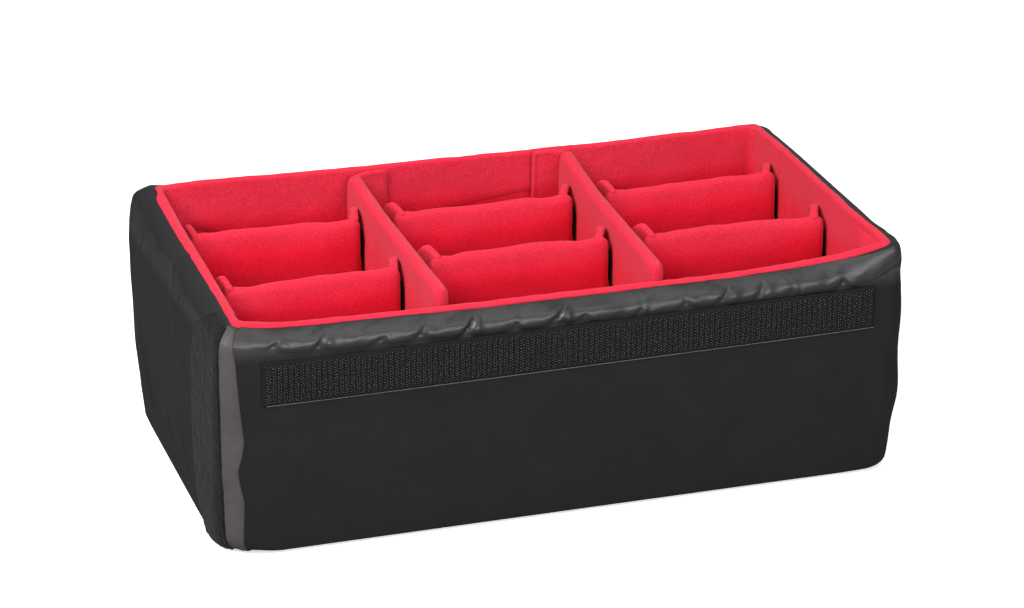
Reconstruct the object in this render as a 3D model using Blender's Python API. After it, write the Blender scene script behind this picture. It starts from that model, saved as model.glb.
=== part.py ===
"""Case divider set: an open padded box with a soft liner, and eight padded dividers held by hook tabs.

Metres, +Z up. +X runs along the long front, the front with the hook tape faces -Y, and the origin is at
the middle of the underside. Every divider lifts out, and each of its two end tabs folds on a fabric hinge.
"""

import math

import bmesh
import bpy
from mathutils import Matrix, Vector

# Overall size of the padded box
BOX_LENGTH = 0.480
BOX_WIDTH = 0.248
BOX_HEIGHT = 0.174
CORNER_RADIUS = 0.022

# Fabrics and padding
SEAT = 0.0003
NYLON = 0.0010
FLEECE = 0.0014
WALL_FOAM = 0.0095
BASE_FOAM = 0.0085

# Soft form of the walls
BASE_ROLL = 0.010
SHOULDER_REACH = 0.0055
SHOULDER_DROP = 0.0140
RIM_ROUND = 0.0040
RIM_SAG = {"front": 0.0145, "back": 0.0010, "left": 0.0020, "right": 0.0015}
WALL_CROWN = {"front": 0.0045, "back": 0.0040, "left": 0.0065, "right": 0.0035}
SAG_START_SHARE = 0.80
SAG_CORNER_SHARE = 0.62

# Tapes on the outside
TAPE_THICK = 0.0016
TAPE_HEIGHT = 0.0310
TAPE_LENGTH = 0.4410
TAPE_BOTTOM = 0.1100
TAPE_LEFT_MARGIN = 0.0250
LOOP_TAPE_THICK = 0.0018
LOOP_TAPE_WIDTH = 0.0500
LOOP_TAPE_TOP_MARGIN = 0.0170
BINDING_THICK = 0.0008
BINDING_WIDTH = 0.0220

# Dividers
DIVIDER_THICK = 0.0110
DIVIDER_FABRIC = 0.0010
LONG_TOP = 0.1700
LONG_FRONT_DROP = 0.0065
CROSS_TOP = 0.1605
CROSS_DIP = 0.0008
CROSS_CROWN = 0.0010
TOP_ROUND = 0.0045
TOP_END_ROUND = 0.0060
PAD_FALL_START_SHARE = 0.45
FRONT_CORNER = 0.0040
BACK_CORNER = 0.0012
END_GAP = 0.0020
LONG_SKEWS = (0.0, 2.3)

# Where the dividers stand, as shares of the half room: middle planes in X, and front faces in Y
LONG_CENTRE_SHARES = (-0.382, 0.314)
BACK_ROW_SHARES = (0.493, 0.493, 0.489)
FRONT_ROW_SHARES = (-0.395, -0.278, -0.314)

# Tabs at the ends of the dividers
TAB_THICK = 0.0024
TAB_LENGTH = 0.0180
TAB_BOTTOM = 0.0030
TAB_TOP_MARGIN = 0.0010
TAB_TIP_ROUND = 0.0060
STRIP_THICK = 0.0014
STRIP_BORDER = 0.0020

# Facets
LONG_SIDE_FACETS = 12
SHORT_SIDE_FACETS = 8
CORNER_FACETS = 4
ROLL_FACETS = 3
SHOULDER_FACETS = 4
WALL_FACETS = 5
PAD_FACETS = 4
PAD_LEVELS = 3
TURN_FACETS = 3

# Worked out from the sizes above
FOAM_OUTER = NYLON + SEAT
FOAM_INNER = FOAM_OUTER + WALL_FOAM
WALL = FOAM_INNER + SEAT + FLEECE
HALF_LENGTH = BOX_LENGTH / 2
HALF_WIDTH = BOX_WIDTH / 2
ROOM_X = HALF_LENGTH - WALL
ROOM_Y = HALF_WIDTH - WALL
BASE_FOAM_BOTTOM = NYLON + SEAT
FLOOR_BOTTOM = BASE_FOAM_BOTTOM + BASE_FOAM + SEAT
FLOOR = FLOOR_BOTTOM + FLEECE
TAB_HALF = TAB_THICK / 2
TAB_STAND_OFF = SEAT + STRIP_THICK + SEAT + TAB_HALF

# sRGB colours, roughness
FINISHES = {
    "black_nylon": ("2f2d2e", 0.45),
    "grey_nylon": ("4d4949", 0.5),
    "red_fleece": ("d9203a", 0.95),
    "red_fabric": ("e23a4c", 0.95),
    "hook_tape": ("1d1b1b", 0.7),
    "loop_tape": ("3a3839", 1.0),
    "grey_foam": ("5a5a5c", 0.9),
}


def clear_scene():
    for obj in list(bpy.data.objects):
        bpy.data.objects.remove(obj, do_unlink=True)


def to_linear(code):
    shares = [int(code[i:i + 2], 16) / 255 for i in (0, 2, 4)]
    return [s / 12.92 if s <= 0.04045 else ((s + 0.055) / 1.055) ** 2.4 for s in shares]


def finish(name):
    """The named material, made once."""
    if name in bpy.data.materials:
        return bpy.data.materials[name]
    code, roughness = FINISHES[name]
    material = bpy.data.materials.new(name)
    material.use_nodes = True
    shader = material.node_tree.nodes["Principled BSDF"]
    shader.inputs["Base Color"].default_value = (*to_linear(code), 1.0)
    shader.inputs["Roughness"].default_value = roughness
    shader.inputs["Metallic"].default_value = 0.0
    return material


def add_object(name, mesh_data, material, origin=None, parent=None, sharp=40):
    """A named object from a bmesh in world space, with its origin where it turns or rests."""
    bmesh.ops.recalc_face_normals(mesh_data, faces=mesh_data.faces)
    origin = Vector(origin) if origin else Vector()
    bmesh.ops.translate(mesh_data, verts=mesh_data.verts, vec=-origin)
    mesh = bpy.data.meshes.new(name)
    mesh_data.to_mesh(mesh)
    mesh_data.free()
    mesh.materials.append(finish(material))
    mesh.shade_smooth()
    mesh.set_sharp_from_angle(angle=math.radians(sharp))
    obj = bpy.data.objects.new(name, mesh)
    bpy.context.scene.collection.objects.link(obj)
    obj.parent = parent
    obj.location = origin - (parent.matrix_world.translation if parent else Vector())
    bpy.context.view_layer.update()
    return obj


def new_row(mesh_data, points):
    return [mesh_data.verts.new(point) for point in points]


def band(mesh_data, low, high, fold_at=None):
    """Triangles between two closed rows. From fold_at on, the row runs back along its own sheet, so its
    diagonals turn, and the two sides of a sheet stay parallel to each other and to what lies beside them."""
    count = len(low)
    for i in range(count):
        j = (i + 1) % count
        if fold_at is not None and i >= fold_at:
            mesh_data.faces.new((low[i], low[j], high[i]))
            mesh_data.faces.new((low[j], high[j], high[i]))
        else:
            mesh_data.faces.new((low[i], low[j], high[j]))
            mesh_data.faces.new((low[i], high[j], high[i]))


def bridge_rings(mesh_data, rings, closed=False, fold_at=None):
    """A solid between rings of points. It ends in caps, or goes on from the last ring to the first."""
    rows = [new_row(mesh_data, ring) for ring in rings]
    for low, high in zip(rows, rows[1:]):
        band(mesh_data, low, high, fold_at)
    if closed:
        band(mesh_data, rows[-1], rows[0], fold_at)
    else:
        mesh_data.faces.new(rows[0])
        mesh_data.faces.new(rows[-1])


def smooth_step(share):
    share = min(max(share, 0.0), 1.0)
    return share * share * (3 - 2 * share)


# The plan of the box: stations round a rectangle with round corners
def side_stations(side, first, last, facets):
    """Stations along one straight side, from its first corner's end to its last corner's start."""
    start, end = Vector(first), Vector(last)
    along = (end - start).normalized()
    normal = Vector((along.y, -along.x))
    found = []
    for i in range(facets + 1):
        share = i / facets
        found.append({"at": start.lerp(end, share), "out": normal, "side": side, "u": 2 * share - 1})
    return found


def corner_stations(centre, start_angle):
    """Stations round one corner, without the two that the sides have."""
    found = []
    for i in range(1, CORNER_FACETS):
        angle = math.radians(start_angle + 90 * i / CORNER_FACETS)
        out = Vector((math.cos(angle), math.sin(angle)))
        found.append({"at": Vector(centre) + out * CORNER_RADIUS, "out": out, "side": None, "u": 0.0})
    return found


def box_stations():
    """The four sides and corners in order, counterclockwise from the front's left end."""
    x, y = HALF_LENGTH - CORNER_RADIUS, HALF_WIDTH - CORNER_RADIUS
    return {
        "front": side_stations("front", (-x, -HALF_WIDTH), (x, -HALF_WIDTH), LONG_SIDE_FACETS),
        "front_right": corner_stations((x, -y), -90),
        "right": side_stations("right", (HALF_LENGTH, -y), (HALF_LENGTH, y), SHORT_SIDE_FACETS),
        "back_right": corner_stations((x, y), 0),
        "back": side_stations("back", (x, HALF_WIDTH), (-x, HALF_WIDTH), LONG_SIDE_FACETS),
        "back_left": corner_stations((-x, y), 90),
        "left": side_stations("left", (-HALF_LENGTH, y), (-HALF_LENGTH, -y), SHORT_SIDE_FACETS),
        "front_left": corner_stations((-x, -y), 180),
    }


def place(station, inset, z):
    """A point of a wall: inset from its outer face, with the wall's crown and the sag of its rim.
    The rim falls off steeply beside the stiff corners and gently between them."""
    out = 0.0
    if station["side"]:
        u = station["u"]
        height = math.sin(math.pi * min(max((z - FLOOR) / (BOX_HEIGHT - FLOOR), 0.0), 1.0) ** 0.8)
        fall = min(max((FOAM_INNER - inset) / WALL_FOAM, 0.0), 1.0)
        out = WALL_CROWN[station["side"]] * (1 - u ** 4) * height * fall
        share = (z / BOX_HEIGHT - SAG_START_SHARE) / (1 - SAG_START_SHARE)
        between = SAG_CORNER_SHARE * (1 - u ** 10) + (1 - SAG_CORNER_SHARE) * (1 - u ** 2)
        z -= RIM_SAG[station["side"]] * between * smooth_step(share)
    flat = station["at"] + station["out"] * (out - inset)
    return Vector((flat.x, flat.y, z))


def arc(centre_inset, centre_z, radius_inset, radius_z, start, end, facets):
    """Points (inset, z) round an ellipse. Angle 0 looks inwards and 90 looks up."""
    points = []
    for i in range(facets + 1):
        angle = math.radians(start + (end - start) * i / facets)
        reach = Vector((radius_inset * math.cos(angle), radius_z * math.sin(angle)))
        points.append((centre_inset + reach.x, centre_z + reach.y))
    return points


def outer_curve(side_depth, top_depth):
    """The outside of a wall from its bottom roll over the shoulder to the rim seam, at a depth inside it."""
    low = arc(BASE_ROLL, BASE_ROLL + SEAT, BASE_ROLL - side_depth, BASE_ROLL - side_depth, 270, 180, ROLL_FACETS)
    high = arc(
        SHOULDER_REACH,
        BOX_HEIGHT - SHOULDER_DROP,
        SHOULDER_REACH - side_depth,
        SHOULDER_DROP - top_depth,
        180,
        90,
        SHOULDER_FACETS,
    )
    start, end = low[-1][1], high[0][1]
    upright = [(side_depth, start + (end - start) * i / WALL_FACETS) for i in range(1, WALL_FACETS)]
    return low + upright + high


def inner_curve(depth, top_depth, bottom):
    """The inside of a wall from the seam over the rim and down to the floor, at a depth towards the room."""
    radius = RIM_ROUND + depth - FOAM_INNER
    rim = arc(FOAM_INNER - RIM_ROUND, BOX_HEIGHT - top_depth - radius, radius, radius, 90, 0, TURN_FACETS)
    top = rim[-1][1]
    upright = [(depth, top + (bottom - top) * i / WALL_FACETS) for i in range(1, WALL_FACETS + 1)]
    return rim + upright


def wall_mesh(outline, stations, closed, fold_at=None):
    mesh_data = bmesh.new()
    rings = [[place(station, inset, z) for inset, z in outline] for station in stations]
    bridge_rings(mesh_data, rings, closed, fold_at)
    return mesh_data


def all_stations():
    return [station for group in box_stations().values() for station in group]


def make_outer_sleeve():
    outside = outer_curve(0.0, 0.0)
    outline = outside + list(reversed(outer_curve(NYLON, NYLON)))
    return add_object("outer_sleeve", wall_mesh(outline, all_stations(), True, len(outside)), "black_nylon")


def make_wall_liner():
    seam = SHOULDER_REACH + SEAT
    room_side = [(seam, BOX_HEIGHT)] + inner_curve(WALL, 0.0, FLOOR + SEAT)
    foam_side = [(seam, BOX_HEIGHT - FLEECE)] + inner_curve(WALL - FLEECE, FLEECE, FLOOR + SEAT)
    outline = room_side + list(reversed(foam_side))
    return add_object("wall_liner", wall_mesh(outline, all_stations(), True, len(room_side)), "red_fleece")


def half_corner(group, first):
    """The half of a corner that a foam board takes, ending half a seat short of the corner's middle."""
    middle = len(group) // 2
    chosen = group[:middle] if first else group[middle + 1:]
    inner = CORNER_RADIUS - FOAM_INNER
    turn = math.asin(SEAT / 2 / inner) * (-1 if first else 1)
    end = dict(group[middle])
    centre = end["at"] - end["out"] * CORNER_RADIUS
    end["out"] = Matrix.Rotation(turn, 2) @ end["out"]
    end["at"] = centre + end["out"] * CORNER_RADIUS
    return chosen + [end] if first else [end] + chosen


def make_wall_foams():
    groups = box_stations()
    outside = outer_curve(FOAM_OUTER, FLEECE + SEAT)
    inside = inner_curve(FOAM_INNER, FLEECE + SEAT, outside[0][1])
    outline = outside + inside
    for side, before, after in (
        ("front", "front_left", "front_right"),
        ("right", "front_right", "back_right"),
        ("back", "back_right", "back_left"),
        ("left", "back_left", "front_left"),
    ):
        stations = half_corner(groups[before], False) + groups[side] + half_corner(groups[after], True)
        add_object(side + "_wall_foam", wall_mesh(outline, stations, False), "grey_foam")


# The base: flat sheets with round corners, one on the other
def make_sheet(name, inset, bottom, thick, material):
    mesh_data = bmesh.new()
    stations = all_stations()
    rings = []
    for z in (bottom, bottom + thick):
        rings.append([Vector((*(s["at"] - s["out"] * inset), z)) for s in stations])
    bridge_rings(mesh_data, rings)
    bmesh.ops.dissolve_limit(
        mesh_data, angle_limit=math.radians(1), verts=mesh_data.verts, edges=mesh_data.edges
    )
    return add_object(name, mesh_data, material)


def make_base():
    make_sheet("outer_base_panel", BASE_ROLL + SEAT, 0.0, NYLON, "black_nylon")
    make_sheet("base_foam", FOAM_INNER + SEAT, BASE_FOAM_BOTTOM, BASE_FOAM, "grey_foam")
    make_sheet("base_liner", FOAM_INNER + SEAT, FLOOR_BOTTOM, FLEECE, "red_fleece")


# Tapes on the outside: they lie on the sleeve and follow its crown
def tape_mesh(stations, bottom, top, thick, columns):
    """A tape that lies on the sleeve between two heights."""
    mesh_data = bmesh.new()
    levels = [bottom + (top - bottom) * i / columns for i in range(columns + 1)]
    outline = [(-SEAT, z) for z in levels] + [(-SEAT - thick, z) for z in reversed(levels)]
    rings = [[place(station, inset, z) for inset, z in outline] for station in stations]
    bridge_rings(mesh_data, rings)
    return mesh_data


def station_at(side, share):
    """A station part way along a side."""
    first, last = side[0], side[-1]
    return {"at": first["at"].lerp(last["at"], share), "out": first["out"], "side": first["side"], "u": 2 * share - 1}


def make_front_hook_tape():
    side = box_stations()["front"]
    run = BOX_LENGTH - 2 * CORNER_RADIUS
    start = (TAPE_LEFT_MARGIN - CORNER_RADIUS) / run
    end = start + TAPE_LENGTH / run
    shares = [start + (end - start) * i / LONG_SIDE_FACETS for i in range(LONG_SIDE_FACETS + 1)]
    stations = [station_at(side, share) for share in shares]
    mesh_data = tape_mesh(stations, TAPE_BOTTOM, TAPE_BOTTOM + TAPE_HEIGHT, TAPE_THICK, 2)
    return add_object("front_hook_tape", mesh_data, "hook_tape")


def make_corner_closure():
    """A loop tape on the left wall and the nylon binding that goes on from it round the corner."""
    groups = box_stations()
    side = groups["left"]
    run = BOX_WIDTH - 2 * CORNER_RADIUS
    bottom = BASE_ROLL
    top = BOX_HEIGHT - LOOP_TAPE_TOP_MARGIN
    shares = [1 - LOOP_TAPE_WIDTH / run * (1 - i / WALL_FACETS) for i in range(WALL_FACETS + 1)]
    tape = tape_mesh([station_at(side, share) for share in shares], bottom, top, LOOP_TAPE_THICK, WALL_FACETS)
    add_object("corner_loop_tape", tape, "loop_tape")
    centre = Vector((CORNER_RADIUS - HALF_LENGTH, CORNER_RADIUS - HALF_WIDTH))
    stations = []
    for i in range(CORNER_FACETS + 1):
        turn = (SEAT + BINDING_WIDTH * i / CORNER_FACETS) / CORNER_RADIUS
        out = Matrix.Rotation(turn, 2) @ Vector((-1, 0))
        stations.append({"at": centre + out * CORNER_RADIUS, "out": out, "side": None, "u": 0.0})
    binding = tape_mesh(stations, bottom, top, BINDING_THICK, WALL_FACETS)
    add_object("corner_binding", binding, "grey_nylon")


# Dividers: a foam core in a fabric cover that is open below
def pad_outline(half, thick, depth):
    """The plan of a pad as (along, across) points, at a depth inside it. Its fold side has small corners."""
    points = []
    inner_half = half - depth
    across = thick / 2 - depth
    corners = (
        (1, -1, FRONT_CORNER, 270),
        (1, 1, BACK_CORNER, 0),
        (-1, 1, BACK_CORNER, 90),
        (-1, -1, FRONT_CORNER, 180),
    )
    for sign_a, sign_b, size, start in corners:
        radius = max(size - depth, SEAT)
        for i in range(TURN_FACETS + 1):
            angle = math.radians(start + 90 * i / TURN_FACETS)
            a = sign_a * (inner_half - radius) + radius * math.cos(angle)
            b = sign_b * (across - radius) + radius * math.sin(angle)
            points.append((a, b))
    return points


def along_points(outline, half):
    """The outline with points added on its two long runs, so that a crown and a fall can follow them."""
    count = TURN_FACETS + 1
    reach = half - TOP_END_ROUND
    found = []
    for corner in range(4):
        found += outline[corner * count:(corner + 1) * count]
        first = outline[(corner + 1) * count - 1]
        last = outline[((corner + 1) * count) % len(outline)]
        if abs(last[0] - first[0]) < half:
            continue
        run = math.copysign(reach, last[0])
        found += [(run * (2 * i / PAD_FACETS - 1), first[1]) for i in range(PAD_FACETS + 1)]
    return found


def pad_rings(spec, depth, bottom):
    """Rings up the pad from its bottom over its rounded top, at a depth inside its surface."""
    half, top = spec["half"], spec["top"]
    radius = TOP_ROUND - depth
    shoulder = top - TOP_ROUND
    steps = [(bottom + (shoulder - bottom) * i / PAD_LEVELS, 0.0) for i in range(PAD_LEVELS + 1)]
    for i in range(1, TURN_FACETS + 1):
        angle = math.radians(90 * i / TURN_FACETS)
        steps.append((shoulder + radius * math.sin(angle), radius * (1 - math.cos(angle))))
    rings = []
    for z, draw_in in steps:
        outline = along_points(pad_outline(half, DIVIDER_THICK, depth), half)
        rings.append([shape_pad(spec, a, b, z, draw_in) for a, b in outline])
    return rings


def shape_pad(spec, a, b, z, draw_in):
    """A point of a pad in world space, with its drawn-in top, its crown and the fall of its top edge."""
    half, top = spec["half"], spec["top"]
    a -= math.copysign(min(draw_in, abs(a)), a)
    b -= math.copysign(min(draw_in, abs(b)), b)
    free = half - TAB_LENGTH - TAB_THICK
    middle = max(1 - (a / free) ** 2, 0.0)
    rise = (z - FLOOR) / (top - FLOOR)
    b += math.copysign(spec["crown"] * middle * math.sin(math.pi * min(max(rise, 0.0), 1.0)), b)
    past = min(max(abs(a) - half + TOP_END_ROUND, 0.0) / TOP_END_ROUND, 1.0)
    fall = spec["dip"] * middle + spec["front_drop"] * smooth_step(-a / half)
    fall += TOP_END_ROUND * (1 - math.sqrt(1 - past * past))
    z -= fall * smooth_step((rise - PAD_FALL_START_SHARE) / (1 - PAD_FALL_START_SHARE))
    return spec["centre"] + spec["along"] * a + spec["across"] * b + Vector((0, 0, z))


def close_top(mesh_data, row):
    """Closes the narrow top of a pad with a strip across it, from its right end to its left end."""
    turned = row[TURN_FACETS + 1:] + row[:TURN_FACETS + 1]
    last = len(turned) - 1
    for i in range(len(turned) // 2 - 1):
        mesh_data.faces.new((turned[i], turned[i + 1], turned[last - i - 1]))
        mesh_data.faces.new((turned[i], turned[last - i - 1], turned[last - i]))


def pad_surface(mesh_data, rings):
    """The sides and the top of a pad, open below. It gives back the lowest row."""
    rows = [new_row(mesh_data, ring) for ring in rings]
    for low, high in zip(rows, rows[1:]):
        band(mesh_data, low, high)
    close_top(mesh_data, rows[-1])
    return rows[0]


def make_divider(name, spec):
    bottom = FLOOR + SEAT
    origin = spec["centre"] + Vector((0, 0, bottom))
    mesh_data = bmesh.new()
    outside = pad_surface(mesh_data, pad_rings(spec, 0.0, bottom))
    inside = pad_surface(mesh_data, pad_rings(spec, DIVIDER_FABRIC, bottom))
    band(mesh_data, inside, outside)
    cover = add_object(name + "_cover", mesh_data, "red_fleece", origin)
    mesh_data = bmesh.new()
    mesh_data.faces.new(pad_surface(mesh_data, pad_rings(spec, DIVIDER_FABRIC + SEAT, bottom)))
    add_object(name + "_foam", mesh_data, "grey_foam", origin, cover)
    for end, tab in spec["tabs"].items():
        make_tab(name + "_" + end, spec, tab, cover)


def flap_ring(tab, inner, outer, root, tip, z, facets):
    """One level of a flap: its plan is a slim bar with round ends, drawn from the hinge line."""
    middle = (inner + outer) / 2
    radius = (outer - inner) / 2
    points = []
    for centre, start in ((root, 180), (tip - radius, 0)):
        for i in range(facets + 1):
            angle = math.radians(start + 180 * i / facets)
            points.append((centre + radius * math.sin(angle), middle + radius * math.cos(angle)))
    return [tab["axis"] + tab["along"] * s + tab["out"] * o + Vector((0, 0, z)) for s, o in points]


def make_tab(name, spec, tab, cover):
    """A folded fabric tab on its hinge line, and the hook strip sewn on its outer face."""
    bottom = FLOOR + TAB_BOTTOM
    top = spec["top"] - TAB_TOP_MARGIN - (spec["front_drop"] if tab["low"] else 0.0)
    levels = [(bottom, TAB_HALF), (bottom + TAB_HALF, 0.0), (top - TAB_TIP_ROUND, 0.0)]
    for i in range(1, TURN_FACETS + 1):
        angle = math.radians(90 * i / TURN_FACETS)
        levels.append((top - TAB_TIP_ROUND * (1 - math.sin(angle)), TAB_TIP_ROUND * (1 - math.cos(angle))))
    mesh_data = bmesh.new()
    rings = [
        flap_ring(tab, -TAB_HALF, TAB_HALF, 0.0, TAB_LENGTH - shorter, z, TURN_FACETS)
        for z, shorter in levels
    ]
    bridge_rings(mesh_data, rings)
    obj = add_object(name + "_tab", mesh_data, "red_fabric", tab["axis"] + Vector((0, 0, bottom)), cover)
    inner = TAB_HALF + SEAT
    outer = inner + STRIP_THICK
    low, high = bottom + STRIP_BORDER, top - STRIP_BORDER
    tip = TAB_LENGTH - STRIP_BORDER
    cut = TAB_TIP_ROUND - STRIP_BORDER
    outline = ((0.0, low), (tip, low), (tip, high - cut), (tip - cut, high), (0.0, high))
    mesh_data = bmesh.new()
    rings = [
        [tab["axis"] + tab["along"] * s + tab["out"] * out + Vector((0, 0, z)) for s, z in outline]
        for out in (inner, outer)
    ]
    bridge_rings(mesh_data, rings)
    add_object(name + "_hook_strip", mesh_data, "hook_tape", tab["axis"] + Vector((0, 0, bottom)), obj)


def long_line(index, y, offset):
    """The x of a line along a long divider, offset from its middle plane, at a y."""
    skew = math.radians(LONG_SKEWS[index])
    return LONG_CENTRE_SHARES[index] * ROOM_X + y * math.tan(skew) + offset / math.cos(skew)


def long_spec(index):
    """A divider from the front wall to the back wall. Its tabs fold towards the middle column."""
    skew = math.radians(LONG_SKEWS[index])
    fold = 1 if index == 0 else -1
    along = Vector((math.sin(skew), math.cos(skew), 0))
    across = Vector((math.cos(skew), -math.sin(skew), 0)) * fold
    half = (ROOM_Y - END_GAP) / math.cos(skew) - DIVIDER_THICK / 2 * math.tan(skew)
    tabs = {}
    for end, sign in (("front", -1), ("back", 1)):
        y = sign * (ROOM_Y - TAB_STAND_OFF)
        x = long_line(index, y, fold * (DIVIDER_THICK / 2 + SEAT + TAB_HALF))
        tabs[end] = {
            "axis": Vector((x, y, 0)),
            "along": Vector((fold, 0, 0)),
            "out": Vector((0, sign, 0)),
            "low": sign < 0,
        }
    return {
        "centre": Vector((LONG_CENTRE_SHARES[index] * ROOM_X, 0, 0)),
        "along": along,
        "across": across,
        "half": half,
        "top": LONG_TOP,
        "crown": 0.0,
        "dip": 0.0,
        "front_drop": LONG_FRONT_DROP,
        "tabs": tabs,
    }


def column_wall(column, side, y):
    """The x and the skew of what a cross divider meets at its left (-1) or right (1) end."""
    if column == 0 and side < 0:
        return -ROOM_X, 0.0
    if column == 2 and side > 0:
        return ROOM_X, 0.0
    index = column - 1 if side < 0 else column
    return long_line(index, y, -side * DIVIDER_THICK / 2), math.radians(LONG_SKEWS[index])


def cross_spec(column, front_face):
    """A divider across one column. Its tabs fold towards the back."""
    back_face = front_face + DIVIDER_THICK
    tabs, ends = {}, []
    for end, sign in (("left", -1), ("right", 1)):
        y = back_face + SEAT + TAB_HALF
        x, skew = column_wall(column, sign, y)
        out = Vector((math.cos(skew), -math.sin(skew), 0)) * sign
        along = Vector((math.sin(skew), math.cos(skew), 0))
        axis = Vector((x - sign * TAB_STAND_OFF / math.cos(skew), y, 0))
        tabs[end] = {"axis": axis, "along": along, "out": out, "low": False}
        faces = [column_wall(column, sign, y)[0] for y in (front_face, back_face)]
        ends.append((max(faces) if sign < 0 else min(faces)) - sign * END_GAP)
    return {
        "centre": Vector(((ends[0] + ends[1]) / 2, (front_face + back_face) / 2, 0)),
        "along": Vector((1, 0, 0)),
        "across": Vector((0, 1, 0)),
        "half": (ends[1] - ends[0]) / 2,
        "top": CROSS_TOP,
        "crown": CROSS_CROWN,
        "dip": CROSS_DIP,
        "front_drop": 0.0,
        "tabs": tabs,
    }


def make_dividers():
    for index, name in enumerate(("left_long_divider", "right_long_divider")):
        make_divider(name, long_spec(index))
    for row, shares in (("back", BACK_ROW_SHARES), ("front", FRONT_ROW_SHARES)):
        for column, place_name in enumerate(("left", "middle", "right")):
            make_divider(f"{row}_{place_name}_divider", cross_spec(column, shares[column] * ROOM_Y))


def main():
    clear_scene()
    make_outer_sleeve()
    make_wall_liner()
    make_wall_foams()
    make_base()
    make_front_hook_tape()
    make_corner_closure()
    make_dividers()


main()
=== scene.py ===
import math
import random

import bpy
import numpy as np
from mathutils import Matrix, Vector


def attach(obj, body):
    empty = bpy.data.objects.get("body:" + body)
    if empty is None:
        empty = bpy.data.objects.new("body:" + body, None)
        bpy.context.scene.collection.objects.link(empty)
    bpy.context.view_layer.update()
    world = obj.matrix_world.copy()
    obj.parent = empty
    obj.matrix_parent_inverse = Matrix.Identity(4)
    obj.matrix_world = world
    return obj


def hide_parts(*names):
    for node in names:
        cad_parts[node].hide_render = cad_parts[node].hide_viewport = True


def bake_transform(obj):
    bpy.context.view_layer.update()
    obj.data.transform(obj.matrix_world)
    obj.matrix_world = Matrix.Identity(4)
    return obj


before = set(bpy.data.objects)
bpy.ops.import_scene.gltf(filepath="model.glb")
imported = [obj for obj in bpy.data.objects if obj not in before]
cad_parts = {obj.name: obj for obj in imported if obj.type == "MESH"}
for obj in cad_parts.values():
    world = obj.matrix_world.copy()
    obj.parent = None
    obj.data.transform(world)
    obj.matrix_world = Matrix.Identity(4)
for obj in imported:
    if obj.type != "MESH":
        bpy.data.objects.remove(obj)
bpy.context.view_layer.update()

# Sizes are metres. The box stands on z 0, its long front faces -Y.
box = {
    "length": 0.480, "width": 0.248, "height": 0.174, "corner": 0.022,
    "wall": 0.0125, "floor": 0.0115,
}
halfLength, halfWidth = box["length"] / 2, box["width"] / 2
roomX, roomY = halfLength - box["wall"], halfWidth - box["wall"]


def toLinear(code):
    shares = [int(code[i:i + 2], 16) / 255 for i in (0, 2, 4)]
    return tuple(s / 12.92 if s <= 0.04045 else ((s + 0.055) / 1.055) ** 2.4 for s in shares) + (1.0,)


def addNode(tree, kind, inputs=None, **settings):
    # A socket given as an input is linked, anything else is set
    node = tree.nodes.new(kind)
    for name, value in settings.items():
        setattr(node, name, value)
    for key, value in (inputs or {}).items():
        if isinstance(value, bpy.types.NodeSocket):
            tree.links.new(value, node.inputs[key])
        else:
            node.inputs[key].default_value = value
    return node


def smoothStep(t):
    t = np.clip(t, 0.0, 1.0)
    return t * t * (3 - 2 * t)


# Camera, light and floor
view = {
    "place": (-0.70367, -2.06076, 1.02545), "yaw": -0.328744, "pitch": 0.399673, "roll": 0.013379,
    "lens": 116.75, "sensor": 36.0, "near": 0.05, "far": 60.0,
}
lamps = {  # place, aim, size, power
    "overheadSoftbox": {"place": (0.42, -0.85, 1.90), "aim": (0.0, 0.0, 0.1), "size": (1.2, 0.7), "power": 9},
    "frontSoftbox": {"place": (0.45, -2.55, 1.05), "aim": (0.0, 0.0, 0.1), "size": (1.5, 0.8), "power": 39},
    "leftSoftbox": {"place": (-1.6, -0.75, 1.75), "aim": (0.0, 0.0, 0.1), "size": (1.3, 1.1), "power": 78},
}
studio = {
    "ambient": 0.34, "floorColour": "f2f2f2", "floorBounce": "a8a8a8", "floorLift": 0.55, "glossShare": 0.12,
    "floorReach": 9, "floorHeight": -0.0006,
}


def makeCamera():
    data = bpy.data.cameras.new("studioCamera")
    data.lens, data.sensor_width = view["lens"], view["sensor"]
    data.clip_start, data.clip_end = view["near"], view["far"]
    camera = bpy.data.objects.new("studioCamera", data)
    yaw, pitch, roll = view["yaw"], view["pitch"], view["roll"]
    back = Vector((math.sin(yaw) * math.cos(pitch), -math.cos(yaw) * math.cos(pitch), math.sin(pitch)))
    right = Vector((math.cos(yaw), math.sin(yaw), 0.0))
    up = back.cross(right)
    across = right * math.cos(roll) + up * math.sin(roll)
    upward = up * math.cos(roll) - right * math.sin(roll)
    turn = Matrix((across, upward, back)).transposed()
    camera.matrix_world = Matrix.Translation(view["place"]) @ turn.to_4x4()
    bpy.context.scene.collection.objects.link(camera)
    bpy.context.scene.camera = camera


def makeLamps():
    for name, lamp in lamps.items():
        data = bpy.data.lights.new(name, "AREA")
        data.shape, (data.size, data.size_y) = "RECTANGLE", lamp["size"]
        data.energy = lamp["power"]
        lampObject = bpy.data.objects.new(name, data)
        lampObject.location = lamp["place"]
        aim = Vector(lamp["aim"]) - Vector(lamp["place"])
        lampObject.rotation_euler = aim.to_track_quat("-Z", "Y").to_euler()
        bpy.context.scene.collection.objects.link(lampObject)


def seenDirectly(tree):  # 1 for rays from the camera, in gloss and through clear things
    path = addNode(tree, "ShaderNodeLightPath")
    gloss = addNode(tree, "ShaderNodeMath", {0: path.outputs["Is Glossy Ray"], 1: studio["glossShare"]},
                    operation="MULTIPLY")
    either = addNode(tree, "ShaderNodeMath", {0: path.outputs["Is Camera Ray"], 1: gloss.outputs[0]},
                     operation="MAXIMUM")
    return addNode(tree, "ShaderNodeMath", {0: either.outputs[0], 1: path.outputs["Is Transmission Ray"]},
                   operation="MAXIMUM").outputs[0], path.outputs["Is Camera Ray"]


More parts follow.
